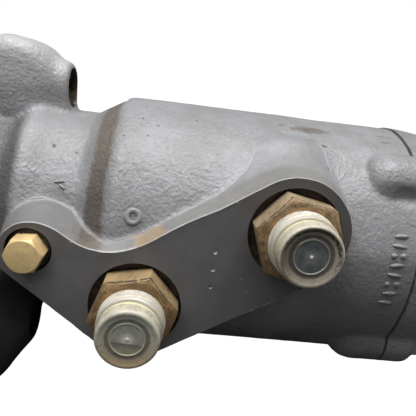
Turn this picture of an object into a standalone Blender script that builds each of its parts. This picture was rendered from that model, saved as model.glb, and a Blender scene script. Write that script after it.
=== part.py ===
"""Right-angle bevel gearmotor: a gerotor hydraulic motor bolted to a bevel gear case.

Frame: origin at the centre of the gear case's base face, under the output axis.
+Z is up along the output shaft, +X runs along the motor towards its end cover.
All lengths below are millimetres; MM turns them into metres.
"""

import bpy
import bmesh
import math
from mathutils import Matrix, Vector

MM = 0.001
GAP = 0.3            # clearance kept between neighbouring solids

# ---------------------------------------------------------------- driving dimensions
MOTOR_Z = 95.0       # height of the motor axis
FLANGE_X = 85.0      # mating face of the motor housing
SHIFT_X = 190.0      # x = 0 of the motor drawing, measured from the output axis

BARREL_R = 57.15     # 4.5 in barrel
NECK_R = 47.7
SEAM_X = 87.8        # joint between housing and end cover
PAD_Y = -62.5        # machined port face
PORT_A = (-25.05, -20.0)
PORT_B = (33.05, 16.2)
PLUG_AT = (-66.45, -0.9)
PORT_PAD_R = 22.05
PLUG_PAD_R = 12.8
PORT_SPOT_R = 18.2
PLUG_SPOT_R = 8.76
HEX_AF = 30.0        # adapter hexagon
CAP_R = 11.42
BOLT_PCR = 52.0      # end cover bolt circle radius
LOBE_R = 12.0
LUG_R = 58.0         # radius on which the flange lugs lie

MODULE = 3.0
PINION_TEETH = 16
GEAR_TEETH = 32
FACE_WIDTH = 15.0

ROTOR_LOBES = 6
RING_LOBES = 7
PIN_CIRCLE = 24.0
PIN_R = 6.0
ECC = 2.6

COVER_SCREWS = 4

for old in list(bpy.data.objects):
    bpy.data.objects.remove(old, do_unlink=True)
PARTS = bpy.data.collections.new("bevel_gearmotor")
CUTTERS = bpy.data.collections.new("cutters")
bpy.context.scene.collection.children.link(PARTS)
bpy.context.scene.collection.children.link(CUTTERS)

AX = {
    "+Z": Matrix.Identity(4),
    "+X": Matrix.Rotation(math.radians(90), 4, "Y"),
    "-X": Matrix.Rotation(math.radians(-90), 4, "Y"),
    "-Y": Matrix.Rotation(math.radians(90), 4, "X"),
}


def motor(x, y=0.0, z=0.0):
    """A point of the motor drawing, whose x axis is the motor axis, in the part's frame."""
    return (x + SHIFT_X, y, z + MOTOR_Z)


def place(axis, at, spin=0.0):
    return (
        Matrix.Translation(Vector(at) * MM)
        @ AX[axis]
        @ Matrix.Rotation(math.radians(spin), 4, "Z")
    )


def evaluated(obj):
    """The object's mesh with its modifiers applied."""
    deps = bpy.context.evaluated_depsgraph_get()
    deps.update()
    return bpy.data.meshes.new_from_object(obj.evaluated_get(deps))


def tidy(mesh):
    bm = bmesh.new()
    bm.from_mesh(mesh)
    bmesh.ops.remove_doubles(bm, verts=bm.verts, dist=1e-6)
    bmesh.ops.recalc_face_normals(bm, faces=bm.faces)
    bm.to_mesh(mesh)
    bm.free()


def new_object(name, mesh):
    obj = bpy.data.objects.new(name, mesh)
    CUTTERS.objects.link(obj)
    return obj


def turned(profile, axis="+Z", at=(0, 0, 0), seg=32, spin=0.0):
    """A solid of revolution: profile is (radius, height) along the axis; it closes on itself
    when no point lies on the axis."""
    mesh = bpy.data.meshes.new("profile")
    points = [(r * MM, 0.0, h * MM) for r, h in profile]
    edges = [(i, i + 1) for i in range(len(points) - 1)]
    if profile[0][0] > 0 and profile[-1][0] > 0:
        edges.append((len(points) - 1, 0))
    mesh.from_pydata(points, edges, [])
    obj = new_object("turned", mesh)
    screw = obj.modifiers.new("turn", "SCREW")
    screw.axis = "Z"
    screw.angle = math.tau
    screw.steps = seg
    screw.render_steps = seg
    screw.use_merge_vertices = True
    screw.merge_threshold = 0.00001
    solid = evaluated(obj)
    bpy.data.objects.remove(obj)
    tidy(solid)
    solid.transform(place(axis, at, spin))
    return new_object("turned", solid)


def rod(r, h0, h1, axis="+Z", at=(0, 0, 0), seg=24, chamfer=0.0, spin=0.0):
    c = chamfer
    if c:
        profile = [(0, h0), (r - c, h0), (r, h0 + c), (r, h1 - c), (r - c, h1), (0, h1)]
    else:
        profile = [(0, h0), (r, h0), (r, h1), (0, h1)]
    return turned(profile, axis, at, seg, spin)


def tube(r0, r1, h0, h1, axis="+Z", at=(0, 0, 0), seg=32, chamfer=0.0):
    c = chamfer
    profile = [(r0, h0), (r1 - c, h0), (r1, h0 + c), (r1, h1 - c), (r1 - c, h1), (r0, h1)]
    if not c:
        profile = [(r0, h0), (r1, h0), (r1, h1), (r0, h1)]
    return turned(profile, axis, at, seg)


def plate(points, h0, h1, axis="+Z", at=(0, 0, 0), spin=0.0):
    """A flat outline given thickness from h0 to h1 along the axis."""
    curve = bpy.data.curves.new("outline", "CURVE")
    curve.dimensions = "2D"
    curve.fill_mode = "BOTH"
    curve.extrude = (h1 - h0) * 0.5 * MM
    spline = curve.splines.new("POLY")
    spline.points.add(len(points) - 1)
    for p, (x, y) in zip(spline.points, points):
        p.co = (x * MM, y * MM, 0.0, 1.0)
    spline.use_cyclic_u = True
    obj = bpy.data.objects.new("outline", curve)
    CUTTERS.objects.link(obj)
    solid = evaluated(obj)
    bpy.data.objects.remove(obj)
    tidy(solid)
    solid.transform(Matrix.Translation((0, 0, (h0 + h1) * 0.5 * MM)))
    solid.transform(place(axis, at, spin))
    return new_object("plate", solid)


def open_edges(mesh):
    bm = bmesh.new()
    bm.from_mesh(mesh)
    count = sum(len(e.link_faces) != 2 for e in bm.edges)
    bm.free()
    return count


def boolean(target, tools, operation):
    """EXACT, and MANIFOLD only where EXACT leaves an open edge."""
    for tool in tools:
        tool.hide_render = True
        tool.display_type = "WIRE"
        for solver in ("EXACT", "MANIFOLD"):
            mod = target.modifiers.new("b", "BOOLEAN")
            mod.operation = operation
            mod.solver = solver
            mod.object = tool
            solid = evaluated(target)
            target.modifiers.clear()
            tidy(solid)
            if not open_edges(solid):
                break
        target.data = solid
        bpy.data.objects.remove(tool)
    return target


def cut(target, *tools):
    return boolean(target, tools, "DIFFERENCE")


def join(target, *tools):
    return boolean(target, tools, "UNION")


def hexagon(af, turn=0.0):
    r = af / math.sqrt(3.0)
    return [
        (r * math.cos(math.radians(turn + 60 * k)), r * math.sin(math.radians(turn + 60 * k)))
        for k in range(6)
    ]


def hex_head(af, h0, h1, axis, at, turn=0.0, chamfer=1.0):
    """A hexagon whose far corners are turned off by a cone."""
    body = plate(hexagon(af, turn), h0, h1, axis, at)
    r = af / math.sqrt(3.0)
    limit = turned(
        [(0, h0 - 1), (r + 1, h0 - 1), (r + 1, h1 - chamfer * 1.6), (af * 0.5 - chamfer * 0.2, h1 + 0.3), (0, h1 + 0.3)],
        axis, at, 18,
    )
    return boolean(body, [limit], "INTERSECT")


def finish(obj, name, colour, rough=0.5, metal=0.0, origin=None):
    """Name the piece, give it its own material and put its origin on its axis."""
    obj.name = name
    obj.data.name = name
    mat = bpy.data.materials.new(name)
    mat.use_nodes = True
    bsdf = mat.node_tree.nodes["Principled BSDF"]
    bsdf.inputs["Base Color"].default_value = (*colour, 1.0)
    bsdf.inputs["Roughness"].default_value = rough
    bsdf.inputs["Metallic"].default_value = metal
    obj.data.materials.clear()
    obj.data.materials.append(mat)
    bm = bmesh.new()
    bm.from_mesh(obj.data)
    bmesh.ops.dissolve_limit(bm, angle_limit=math.radians(0.4), verts=bm.verts, edges=bm.edges)
    bmesh.ops.triangulate(bm, faces=[f for f in bm.faces if len(f.verts) > 4])
    bm.to_mesh(obj.data)
    bm.free()
    if origin:
        shift = Vector(origin) * MM
        obj.data.transform(Matrix.Translation(-shift))
        obj.location = shift
    obj.data.shade_smooth()
    obj.data.set_sharp_from_angle(angle=math.radians(32))
    CUTTERS.objects.unlink(obj)
    PARTS.objects.link(obj)
    return obj


def arc(cx, cy, r, a0, a1, n):
    return [
        (cx + r * math.cos(math.radians(a0 + (a1 - a0) * k / n)), cy + r * math.sin(math.radians(a0 + (a1 - a0) * k / n)))
        for k in range(n + 1)
    ]


def kidney(r0, r1, a0, a1, n=4):
    return arc(0, 0, r1, a0, a1, n) + arc(0, 0, r0, a1, a0, n)


# in the motor's cross-section the plate's first axis points down and its second towards +Y
def cross(points):
    return [(-z, y) for y, z in points]


CAST = (0.32, 0.32, 0.33)
STEEL = (0.55, 0.55, 0.56)
DARK = (0.08, 0.08, 0.08)
ZINC = (0.55, 0.42, 0.22)
BRASS = (0.62, 0.45, 0.20)
NBR = (0.03, 0.03, 0.03)
PAPER = (0.30, 0.24, 0.16)
CAPC = (0.75, 0.72, 0.55)

M0 = motor(0)
OUT_AXIS = (0, 0, MOTOR_Z)


# ---------------------------------------------------------------- motor housing
PAD_TOP = [
    (3.2, 22.7), (-6.4, 17.4), (-13.8, 12.6), (-20.8, 7.6), (-26.3, 4.4), (-32.0, 2.2), (-37.6, 1.3), (-43.2, 1.8),
    (-48.0, 3.2), (-52.4, 5.6), (-56.2, 8.0), (-60.0, 9.6), (-63.9, 10.3), (-67.6, 10.1), (-71.5, 8.8), (-75.0, 5.9), (-77.2, 2.4),
]


def pad_outline():
    """Outer boundary of the port pad: two port circles, the plug circle and their tangents,
    seen from the front with x to the right and z up."""
    (ax, az), (bx, bz), (px, pz) = PORT_A, PORT_B, PLUG_AT
    d = math.hypot(bx - ax, bz - az)
    along = math.degrees(math.atan2(bz - az, bx - ax))
    dp = math.hypot(ax - px, az - pz)
    down = math.degrees(math.atan2(az - pz, ax - px))
    lean = math.degrees(math.asin((PORT_PAD_R - PLUG_PAD_R) / dp))
    pts = []
    # right end, from below port B round to above it
    pts += arc(bx, bz, PORT_PAD_R, along - 90, along + 90, 12)
    # top edge: a hollow sweep down from port B and up again over the plug
    pts += PAD_TOP
    pts += arc(px, pz, PLUG_PAD_R, 205, down + 270 - lean, 2)
    # port A, from the plug tangent round its lower side
    pts += arc(ax, az, PORT_PAD_R, down - 90 - lean, along - 90, 5)
    return pts


def ridge(profile, at, deep, corner):
    """A lug that stands on the barrel: like a turned one, but flat-sided and carried down by
    'deep'. corner(h) is its top corners' radius over its half width."""
    verts, rings = [], []
    for r, h in profile:
        c = r * corner(h)
        outline = [(-r, -deep), (r, -deep)]
        outline += arc(r - c, r - c, c, 0, 90, 4)
        outline += arc(c - r, r - c, c, 90, 180, 4)
        rings.append(range(len(verts), len(verts) + len(outline)))
        verts += [Vector((at[0] + h, at[1] + y, at[2] + z)) * MM for y, z in outline]
    n = len(rings[0])
    faces = [tuple(rings[0]), tuple(reversed(rings[-1]))]
    for a, b in zip(rings, rings[1:]):
        faces += [(a[k], b[k], b[(k + 1) % n], a[(k + 1) % n]) for k in range(n)]
    mesh = bpy.data.meshes.new("ridge")
    mesh.from_pydata(verts, [], faces)
    bm = bmesh.new()
    bm.from_mesh(mesh)
    bmesh.ops.recalc_face_normals(bm, faces=bm.faces)
    bm.to_mesh(mesh)
    bm.free()
    obj = bpy.data.objects.new("ridge", mesh)
    CUTTERS.objects.link(obj)
    return obj


def lug_place(deg):
    a = math.radians(deg)
    return motor(0, -LUG_R * math.cos(a), LUG_R * math.sin(a))


LUGS = (90.0, -45.0, -135.0)

UPPER_LUG = [
    (0, -112), (14.0, -112), (17.4, -99.6), (20.1, -89.5), (19.6, -82.0),
    (16.1, -75.7), (12.4, -73.0), (11.4, -67.6), (10.6, -66.7), (0, -66.7),
]
LOWER_LUG = [
    (0, -112), (31.5, -112), (31.0, -88), (26.8, -80.5), (19.8, -76.6), (14.2, -72.9), (10.8, -70.6), (10.4, -69.8), (0, -69.8),
]

body = turned(
    [(0, -115), (49.6, -115), (51, -79), (48.4, -71), (47.7, -66), (NECK_R, -54),
     (51.0, -48.8), (BARREL_R, -37.5), (BARREL_R, SEAM_X + 6), (0, SEAM_X + 6)],
    "+X", M0, 36,
)
pad = plate([(x, z) for x, z in pad_outline()], -PAD_Y - 32.0, -PAD_Y, "-Y", motor(0, 0, 0))
body = join(body, pad)
for deg in LUGS:
    p = lug_place(deg)
    if deg == 90.0:
        body = join(body, ridge(UPPER_LUG[1:-1], p, 34.0, lambda h: 0.5 if h < -76 else 0.9))
    else:
        body = join(body, turned(LOWER_LUG, "+X", p, 16))
for deg in (45, 135, -45, -135):
    a = math.radians(deg)
    p = motor(0, BOLT_PCR * math.cos(a), BOLT_PCR * math.sin(a))
    body = join(body, turned([(0, 64.5), (7.5, 66.3), (11.2, 70.3), (LOBE_R, 75), (LOBE_R, SEAM_X + 4), (0, SEAM_X + 4)], "+X", p, 12))
body = cut(body, rod(130, -140, -105, "+X", M0, 24), rod(130, SEAM_X - 0.5, 140, "+X", M0, 24))
# pilot that centres the motor in the gear case
body = join(body, rod(35.0, -110.2, -100, "+X", M0, 32))
# bores
body = cut(
    body,
    rod(16.0, -118, 96, "+X", M0, 24),
    rod(24.3, -119, -94.7, "+X", M0, 28),
)
for deg in LUGS:
    p = lug_place(deg)
    seat = -88.0
    body = cut(body, rod(5.4, -107, seat + 1, "+X", p, 12), rod(8.9, seat, -50, "+X", p, 16))
for x, z in (PORT_A, PORT_B):
    p = motor(x, 0, z)
    body = cut(
        body,
        rod(PORT_SPOT_R, 60.2, 90, "-Y", p, 24),
        rod(15.7, 58.4, 61.2, "-Y", p, 20),
        rod(13.1, 27.0, 59.2, "-Y", p, 20),
    )
p = motor(PLUG_AT[0], 0, PLUG_AT[1])
body = cut(
    body,
    rod(PLUG_SPOT_R, 61.3, 90, "-Y", p, 20),
    rod(8.3, 59.6, 62, "-Y", p, 16),
    rod(6.9, 46.0, 60, "-Y", p, 16),
    rod(3.2, 12.0, 47, "-Y", p, 8),
)
# drilled oil ways and the two chambers behind the port plate
body = cut(
    body,
    rod(4.5, PORT_A[0], 90, "+X", motor(0, -29, -18), 10),
    rod(4.5, PORT_B[0], 90, "+X", motor(0, -29, 16), 10),
    plate(cross(kidney(18.5, 25, 20, 160)), 81, 90, "+X", M0),
    plate(cross(kidney(18.5, 25, 200, 340)), 81, 90, "+X", M0),
    plate(cross([(-33, 12), (-29, 21), (-15, 17), (-20, 8)]), 81, 90, "+X", M0),
    plate(cross([(-33, -14), (-29, -23), (-15, -17), (-20, -8)]), 81, 90, "+X", M0),
)
for deg in (45, 135, -45, -135):
    a = math.radians(deg)
    body = cut(body, rod(5.3, 70.5, 90, "+X", motor(0, BOLT_PCR * math.cos(a), BOLT_PCR * math.sin(a)), 10))
finish(body, "motor_housing", CAST, 0.6, 0.2, M0)

# ---------------------------------------------------------------- end cover and gerotor set
COVER_X0 = SEAM_X + 0.7
cover = turned(
    [(0, COVER_X0 - 8), (57.7, COVER_X0 - 8), (57.7, 92), (56.2, 105), (53.5, 125), (50.8, 130.6), (44, 134), (0, 134)],
    "+X", M0, 32,
)
for deg in (45, 135, -45, -135):
    a = math.radians(deg)
    p = motor(0, BOLT_PCR * math.cos(a), BOLT_PCR * math.sin(a))
    cover = join(cover, turned([(0, COVER_X0 - 5), (LOBE_R, COVER_X0 - 5), (LOBE_R, 99), (10.6, 101.2), (0, 101.5)], "+X", p, 12))
cover = cut(cover, rod(100, 60, COVER_X0, "+X", M0, 24), rod(40.4, 70, 116.0, "+X", M0, 32), rod(10.6, 110, 127, "+X", M0, 20))
for deg in (45, 135, -45, -135):
    a = math.radians(deg)
    p = motor(0, BOLT_PCR * math.cos(a), BOLT_PCR * math.sin(a))
    cover = cut(cover, rod(5.3, 80, 125, "+X", p, 10), rod(10.2, 101.1, 125, "+X", p, 16))
for deg in (90, 270):
    a = math.radians(deg)
    cover = cut(cover, rod(2.3, 110, 124, "+X", motor(0, 36.3 * math.cos(a), 36.3 * math.sin(a)), 8))
finish(cover, "end_cover", CAST, 0.6, 0.2, M0)

for number, deg in enumerate((45, 135, -45, -135), 1):
    a = math.radians(deg)
    p = motor(0, BOLT_PCR * math.cos(a), BOLT_PCR * math.sin(a))
    head = hex_head(16.0, 101.8 + 1.6, 101.8 + 8.4, "+X", p, deg + 10)
    head = join(head, rod(9.6, 101.8, 101.8 + 1.8, "+X", p, 12), rod(4.95, 72, 103, "+X", p, 10))
    finish(head, "end_cover_bolt_%d" % number, STEEL, 0.35, 0.9)

finish(tube(41.2, 44.6, SEAM_X - 0.2, SEAM_X + 0.4, "+X", M0, 28), "end_cover_seal", NBR, 0.7, 0.0)

port_plate = tube(13.0, 40.0, 88.8, 93.2, "+X", M0, 32)
port_plate = cut(
    port_plate,
    plate(cross(kidney(18.5, 24.5, 22, 158)), 80, 99, "+X", M0),
    plate(cross(kidney(18.5, 24.5, 202, 338)), 80, 99, "+X", M0),
    *[rod(2.3, 80, 99, "+X", motor(0, 36.3 * math.cos(math.radians(d)), 36.3 * math.sin(math.radians(d))), 8) for d in (90, 270)],
)
finish(port_plate, "port_plate", STEEL, 0.3, 1.0)

ring = rod(40.0, 93.5, 115.7, "+X", M0, 32)
ring = cut(
    ring,
    rod(32.5, 90, 120, "+X", motor(0, ECC, 0), 36),
    *[rod(2.3, 80, 130, "+X", motor(0, 36.3 * math.cos(math.radians(d)), 36.3 * math.sin(math.radians(d))), 8) for d in (90, 270)],
)
finish(ring, "eccentric_ring", STEEL, 0.35, 1.0)

for number, y in ((1, 36.3), (2, -36.3)):
    finish(rod(2.0, 89.0, 122.0, "+X", motor(0, 0, y), 8), "ring_dowel_%d" % number, STEEL, 0.3, 1.0)

# outer rotor: a ring whose bore carries seven round lobes
ROTOR_X0, ROTOR_X1 = 93.6, 115.6
centre = motor(0, ECC, 0)
cavity = PIN_CIRCLE - PIN_R + 2 * ECC + 0.5
meet = math.acos((PIN_CIRCLE ** 2 + PIN_R ** 2 - cavity ** 2) / (2 * PIN_CIRCLE * PIN_R))
edge_turn = math.atan2(PIN_R * math.sin(meet), PIN_CIRCLE - PIN_R * math.cos(meet))
hollow = []
for k in range(RING_LOBES):
    a = math.pi + math.tau * k / RING_LOBES
    cx, cy = PIN_CIRCLE * math.cos(a), PIN_CIRCLE * math.sin(a)
    for j in range(7):
        b = a + math.pi + meet - 2 * meet * j / 6
        hollow.append((cx + PIN_R * math.cos(b), cy + PIN_R * math.sin(b)))
    for j in (1, 2):
        b = a + edge_turn + (math.tau / RING_LOBES - 2 * edge_turn) * j / 3
        hollow.append((cavity * math.cos(b), cavity * math.sin(b)))
outer = rod(32.0, ROTOR_X0, ROTOR_X1, "+X", centre, 36)
outer = cut(outer, plate([(-z, y) for y, z in hollow], ROTOR_X0 - 5, ROTOR_X1 + 5, "+X", centre))
finish(outer, "outer_rotor", STEEL, 0.3, 1.0, motor(105, ECC, 0))


def rotor_outline(n=78):
    """Equidistant of an epitrochoid: six lobes that roll inside the seven of the ring."""
    pts = []
    r = PIN_R + 0.60
    for k in range(n):
        t = math.tau * k / n
        psi = math.atan2(math.sin((1 - RING_LOBES) * t), PIN_CIRCLE / (ECC * RING_LOBES) - math.cos((1 - RING_LOBES) * t))
        x = PIN_CIRCLE * math.cos(t) - r * math.cos(t + psi) - ECC * math.cos(RING_LOBES * t)
        y = -PIN_CIRCLE * math.sin(t) + r * math.sin(t + psi) + ECC * math.sin(RING_LOBES * t)
        pts.append((x, y))
    return pts


inner = plate(cross(rotor_outline()), ROTOR_X0, ROTOR_X1, "+X", M0)
inner = cut(inner, rod(10.3, 90, 120, "+X", M0, 24), plate(cross([(-2.3, 9), (2.3, 9), (2.3, 12.6), (-2.3, 12.6)]), 90, 120, "+X", M0))
finish(inner, "inner_rotor", STEEL, 0.3, 1.0, motor(105))

# ---------------------------------------------------------------- ports
for tag, (x, z), turn in (("a", PORT_A, 131.9), ("b", PORT_B, 169.0)):
    p = motor(x, 0, z)
    hexa = hex_head(HEX_AF, 60.6, 73.0, "-Y", p, turn)
    adapter = join(hexa, rod(12.8, 42.0, 61, "-Y", p, 18, 0.8), rod(10.2, 72.5, 82.3, "-Y", p, 18))
    adapter = cut(adapter, rod(7.0, 20, 90, "-Y", p, 14))
    finish(adapter, "port_adapter_" + tag, ZINC, 0.45, 0.9)
    far = 0.5 if tag == "a" else 0.0
    cap = turned(
        [(0, 82.6), (10.5, 82.6), (10.5, 73.3), (12.3, 73.3), (12.6, 73.8), (12.2, 75.6), (12.2, 79.4), (CAP_R, 80.2), (CAP_R, 85.7 + far), (10.5, 87.0 + far), (9.2, 86.4 + far), (0, 86.3 + far)],
        "-Y", p, 18,
    )
    finish(cap, "port_cap_" + tag, CAPC, 0.4, 0.0)
for tag, (x, z) in (("a", PORT_A), ("b", PORT_B)):
    seal = turned([(13.3, 58.7), (15.2, 58.7), (15.2, 60.2), (13.3, 60.2)], "-Y", motor(x, 0, z), 20)
    finish(seal, "port_adapter_seal_" + tag, NBR, 0.6, 0.0)

p = motor(PLUG_AT[0], 0, PLUG_AT[1])
plug = hex_head(12.8, 61.6, 69.4, "-Y", p, 65.0, 0.9)
plug = join(plug, rod(6.6, 48.0, 62, "-Y", p, 20, 0.6))
finish(plug, "case_drain_plug", ZINC, 0.4, 0.9)
finish(turned([(7.0, 59.9), (8.0, 59.9), (8.0, 61.2), (7.0, 61.2)], "-Y", p, 20), "case_drain_seal", NBR, 0.6, 0.0)

# flange screws, sunk in the counterbores
for number, deg in enumerate(LUGS, 1):
    p = lug_place(deg)
    s = rod(7.9, -87.7, -77.9, "+X", p, 14)
    s = join(s, rod(5.0, -121.0, -87, "+X", p, 10))
    s = cut(s, plate(hexagon(8.0, 15), -83.0, -70, "+X", p))
    finish(s, "flange_screw_%d" % number, DARK, 0.4, 0.8)

# ---------------------------------------------------------------- motor shaft and pinion
S0 = (0, 0, MOTOR_Z)
shaft = turned(
    [(0, 23), (7.4, 23), (8.1, 23.7), (8.1, 33), (8.7, 33), (8.7, 52.6), (15.0, 52.6), (15.0, 98), (12.4, 99), (12.4, 283), (10.0, 283), (10.0, 315), (9.2, 316), (0, 316)],
    "+X", S0, 24,
)
shaft = cut(
    shaft,
    plate(cross([(-2.2, 7.5), (2.2, 7.5), (2.2, 12), (-2.2, 12)]), 286, 303, "+X", S0),
    plate(cross([(-1.9, 6.9), (1.9, 6.9), (1.9, 12), (-1.9, 12)]), 38, 50, "+X", S0),
)
finish(shaft, "motor_shaft", STEEL, 0.3, 1.0, S0)
finish(plate(cross([(-1.9, 7.8), (1.9, 7.8), (1.9, 12.3), (-1.9, 12.3)]), 286.3, 302.7, "+X", S0), "rotor_key", STEEL, 0.4, 1.0, S0)
finish(plate(cross([(-1.6, 7.2), (1.6, 7.2), (1.6, 10.3), (-1.6, 10.3)]), 38.3, 49.7, "+X", S0), "pinion_key", STEEL, 0.4, 1.0, S0)


def involute(a):
    return math.tan(a) - a


def tooth_half(teeth_virtual, module, h, thinning):
    """Half thickness of an involute tooth at height h over the pitch circle."""
    r = 0.5 * module * teeth_virtual
    base = r * math.cos(math.radians(20))
    rho = max(r + h, base * 1.0005)
    theta = math.pi / (2 * teeth_virtual) - thinning / r
    theta += involute(math.radians(20)) - involute(math.acos(base / rho))
    return (r + h) * theta


def bevel_teeth(teeth, cone_deg, heights, phase, thinning, blank):
    """A straight bevel gear, lofted from its large end to its small end and back through the
    blank and the bore. Its local z axis points from the apex towards the large end."""
    cone = math.radians(cone_deg)
    pitch_r = 0.5 * MODULE * teeth
    distance = pitch_r / math.sin(cone)
    virtual = teeth / math.cos(cone)
    small = (distance - FACE_WIDTH) / distance
    outline = []
    for k in range(teeth):
        mid = math.tau * (k + phase) / teeth
        side = []
        for h in heights:
            radial = pitch_r + h * math.cos(cone)
            side.append((radial, pitch_r / math.tan(cone) - h * math.sin(cone), tooth_half(virtual, MODULE, h, thinning) / radial))
        for radial, z, half in side:
            outline.append((radial * math.cos(mid - half), radial * math.sin(mid - half), z))
        for radial, z, half in reversed(side):
            outline.append((radial * math.cos(mid + half), radial * math.sin(mid + half), z))
    bm = bmesh.new()
    big = [bm.verts.new(Vector(p) * MM) for p in outline]
    low = [bm.verts.new(Vector(p) * MM * small) for p in outline]
    n = len(outline)
    for k in range(n):
        j = (k + 1) % n
        bm.faces.new((big[k], big[j], low[j], low[k]))
    # blank: rings of one point per tooth, from the large end round to the small end
    per = n // teeth
    rings = []
    for r, z in blank:
        turn = [math.tau * (k + phase) / teeth for k in range(teeth)]
        rings.append([bm.verts.new((r * math.cos(t) * MM, r * math.sin(t) * MM, z * MM)) for t in turn])
    for ring, edge in ((rings[0], big), (rings[-1], low)):
        for k in range(teeth):
            i = (k + 1) % teeth
            own = [edge[k * per + m] for m in range(per)]
            for m in range(per - 1):
                bm.faces.new((own[m], own[m + 1], ring[k]))
            bm.faces.new((own[-1], edge[i * per], ring[k]))
            bm.faces.new((edge[i * per], ring[i], ring[k]))
    for lower, upper in zip(rings, rings[1:]):
        for k in range(teeth):
            i = (k + 1) % teeth
            bm.faces.new((lower[k], lower[i], upper[i], upper[k]))
    bmesh.ops.recalc_face_normals(bm, faces=bm.faces)
    mesh = bpy.data.meshes.new("teeth")
    bm.to_mesh(mesh)
    bm.free()
    return new_object("teeth", mesh)


PINION_CONE = math.degrees(math.atan2(PINION_TEETH, GEAR_TEETH))
GEAR_CONE = 90.0 - PINION_CONE
ADD, DED = 0.85 * MODULE, 1.25 * MODULE

# pinion: its axis runs along +X, a gap faces straight down into the gear
pinion = bevel_teeth(
    PINION_TEETH, PINION_CONE, (-DED, -0.4 * MODULE, 0.3 * MODULE, ADD), 0.5, 0.22,
    [(19.5, 50.0), (19.5, 53.0), (15.8, 53.0), (15.8, 52.3), (9.2, 52.3), (9.2, 34.4), (12.5, 34.4)],
)
pinion.data.transform(place("+X", OUT_AXIS))
pinion = cut(pinion, plate(cross([(-1.9, 5), (1.9, 5), (1.9, 10.6), (-1.9, 10.6)]), 20, 60, "+X", OUT_AXIS))
finish(pinion, "bevel_pinion", (0.35, 0.35, 0.36), 0.3, 1.0, OUT_AXIS)

nut = hex_head(19.0, 24.5, 32.6, "+X", OUT_AXIS, 0.0, 0.8)
nut = cut(nut, rod(8.5, 20, 40, "+X", OUT_AXIS, 16))
finish(nut, "pinion_nut", STEEL, 0.35, 1.0, OUT_AXIS)
finish(tube(15.4, 19.0, 53.3, 58.0, "+X", OUT_AXIS, 20), "pinion_spacer", STEEL, 0.35, 1.0, OUT_AXIS)


def bearing(name, axis, at, r_in, r_out, h0, h1, rollers):
    """Inner ring, outer ring and a caged set of rollers, as three pieces."""
    t = (r_out - r_in) * 0.24
    gap = (r_out - r_in) - 2 * t
    rr = gap * 0.5 - 0.4
    mid = (r_in + r_out) * 0.5
    finish(tube(r_in, r_in + t, h0, h1, axis, at, 24), name + "_inner_ring", STEEL, 0.25, 1.0, at)
    finish(tube(r_out - t, r_out, h0, h1, axis, at, 28), name + "_outer_ring", STEEL, 0.25, 1.0, at)
    # cage and rollers handle as one piece: a ring swollen at each roller, inside and outside
    outside, inside = [], []
    for k in range(rollers):
        a = math.tau * k / rollers
        for turn, high in ((-0.96, False), (-0.45, True), (0.45, True), (0.96, False)):
            b = a + turn * rr / mid
            for pts, sign in ((outside, 1), (inside, -1)):
                r = mid + sign * (rr * 0.95 if high else 0.9)
                pts.append((r * math.cos(b), r * math.sin(b)))
    cage = plate(outside, h0 + 1.5, h1 - 1.5, axis, at)
    cage = cut(cage, plate(inside, h0 - 5, h1 + 5, axis, at))
    finish(cage, name + "_rollers", STEEL, 0.2, 1.0, at)


bearing("pinion_bearing", "+X", OUT_AXIS, 15.3, 31.0, 58.3, 75.7, 11)
finish(tube(25.5, 31.0, 76.0, 79.4, "+X", OUT_AXIS, 24), "bearing_retainer_ring", STEEL, 0.4, 1.0)
finish(tube(15.4, 24.0, 87.0, 94.9, "+X", OUT_AXIS, 24), "motor_shaft_seal", NBR, 0.6, 0.0)
finish(tube(12.7, 15.6, 238.0, 272.0, "+X", OUT_AXIS, 24), "rear_bushing", BRASS, 0.35, 0.9)

# ---------------------------------------------------------------- output shaft and bevel gear
O = (0, 0, 0)
out = turned(
    [(0, 26), (11.6, 26), (12.5, 27), (12.5, 49.5), (20.0, 49.5), (20.0, 56.0), (16.0, 56.0), (16.0, 127.6), (15.0, 127.6), (15.0, 164), (14.0, 165), (14.0, 213), (13.0, 214), (0, 214)],
    "+Z", O, 24,
)
out = cut(
    out,
    plate([(11.2, -2.8), (18, -2.8), (18, 2.8), (11.2, 2.8)], 58, 74, "+Z", O),
    plate([(10.0, -4.0), (18, -4.0), (18, 4.0), (10.0, 4.0)], 172, 209, "+Z", O),
)
finish(out, "output_shaft", STEEL, 0.3, 1.0, O)
finish(plate([(11.5, -2.5), (17.9, -2.5), (17.9, 2.5), (11.5, 2.5)], 58.3, 73.7, "+Z", O), "gear_key", STEEL, 0.4, 1.0, O)
finish(plate([(10.3, -3.7), (16.8, -3.7), (16.8, 3.7), (10.3, 3.7)], 172.3, 208.7, "+Z", O), "output_key", STEEL, 0.4, 1.0, O)

gear = bevel_teeth(
    GEAR_TEETH, GEAR_CONE, (-DED, -0.3 * MODULE, ADD), 0.0, 0.22,
    [(45.0, 30.5), (41.0, 35.0), (26.0, 35.0), (26.0, 38.7), (16.4, 38.7), (16.4, 17.5), (26.0, 17.5), (26.0, 19.2)],
)
flip = Matrix.Translation(Vector(OUT_AXIS) * MM) @ Matrix.Rotation(math.pi, 4, "X")
gear.data.transform(flip)
gear = cut(gear, plate([(14, -2.8), (18.4, -2.8), (18.4, 2.8), (14, 2.8)], 40, 90, "+Z", O))
finish(gear, "bevel_gear", (0.35, 0.35, 0.36), 0.3, 1.0, O)
finish(tube(16.4, 19.0, 77.8, 127.3, "+Z", O, 20), "gear_spacer", STEEL, 0.35, 1.0, O)

bearing("lower_bearing", "+Z", O, 12.8, 26.0, 30.0, 46.0, 11)
bearing("upper_bearing", "+Z", O, 15.3, 31.0, 128.0, 146.0, 11)

# ---------------------------------------------------------------- gear case
def rounded_square(half, r, n=4):
    pts = []
    for cx, cy, a in ((half - r, half - r, 0), (r - half, half - r, 90), (r - half, r - half, 180), (half - r, r - half, 270)):
        pts += arc(cx, cy, r, a, a + 90, n)
    return pts


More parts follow.
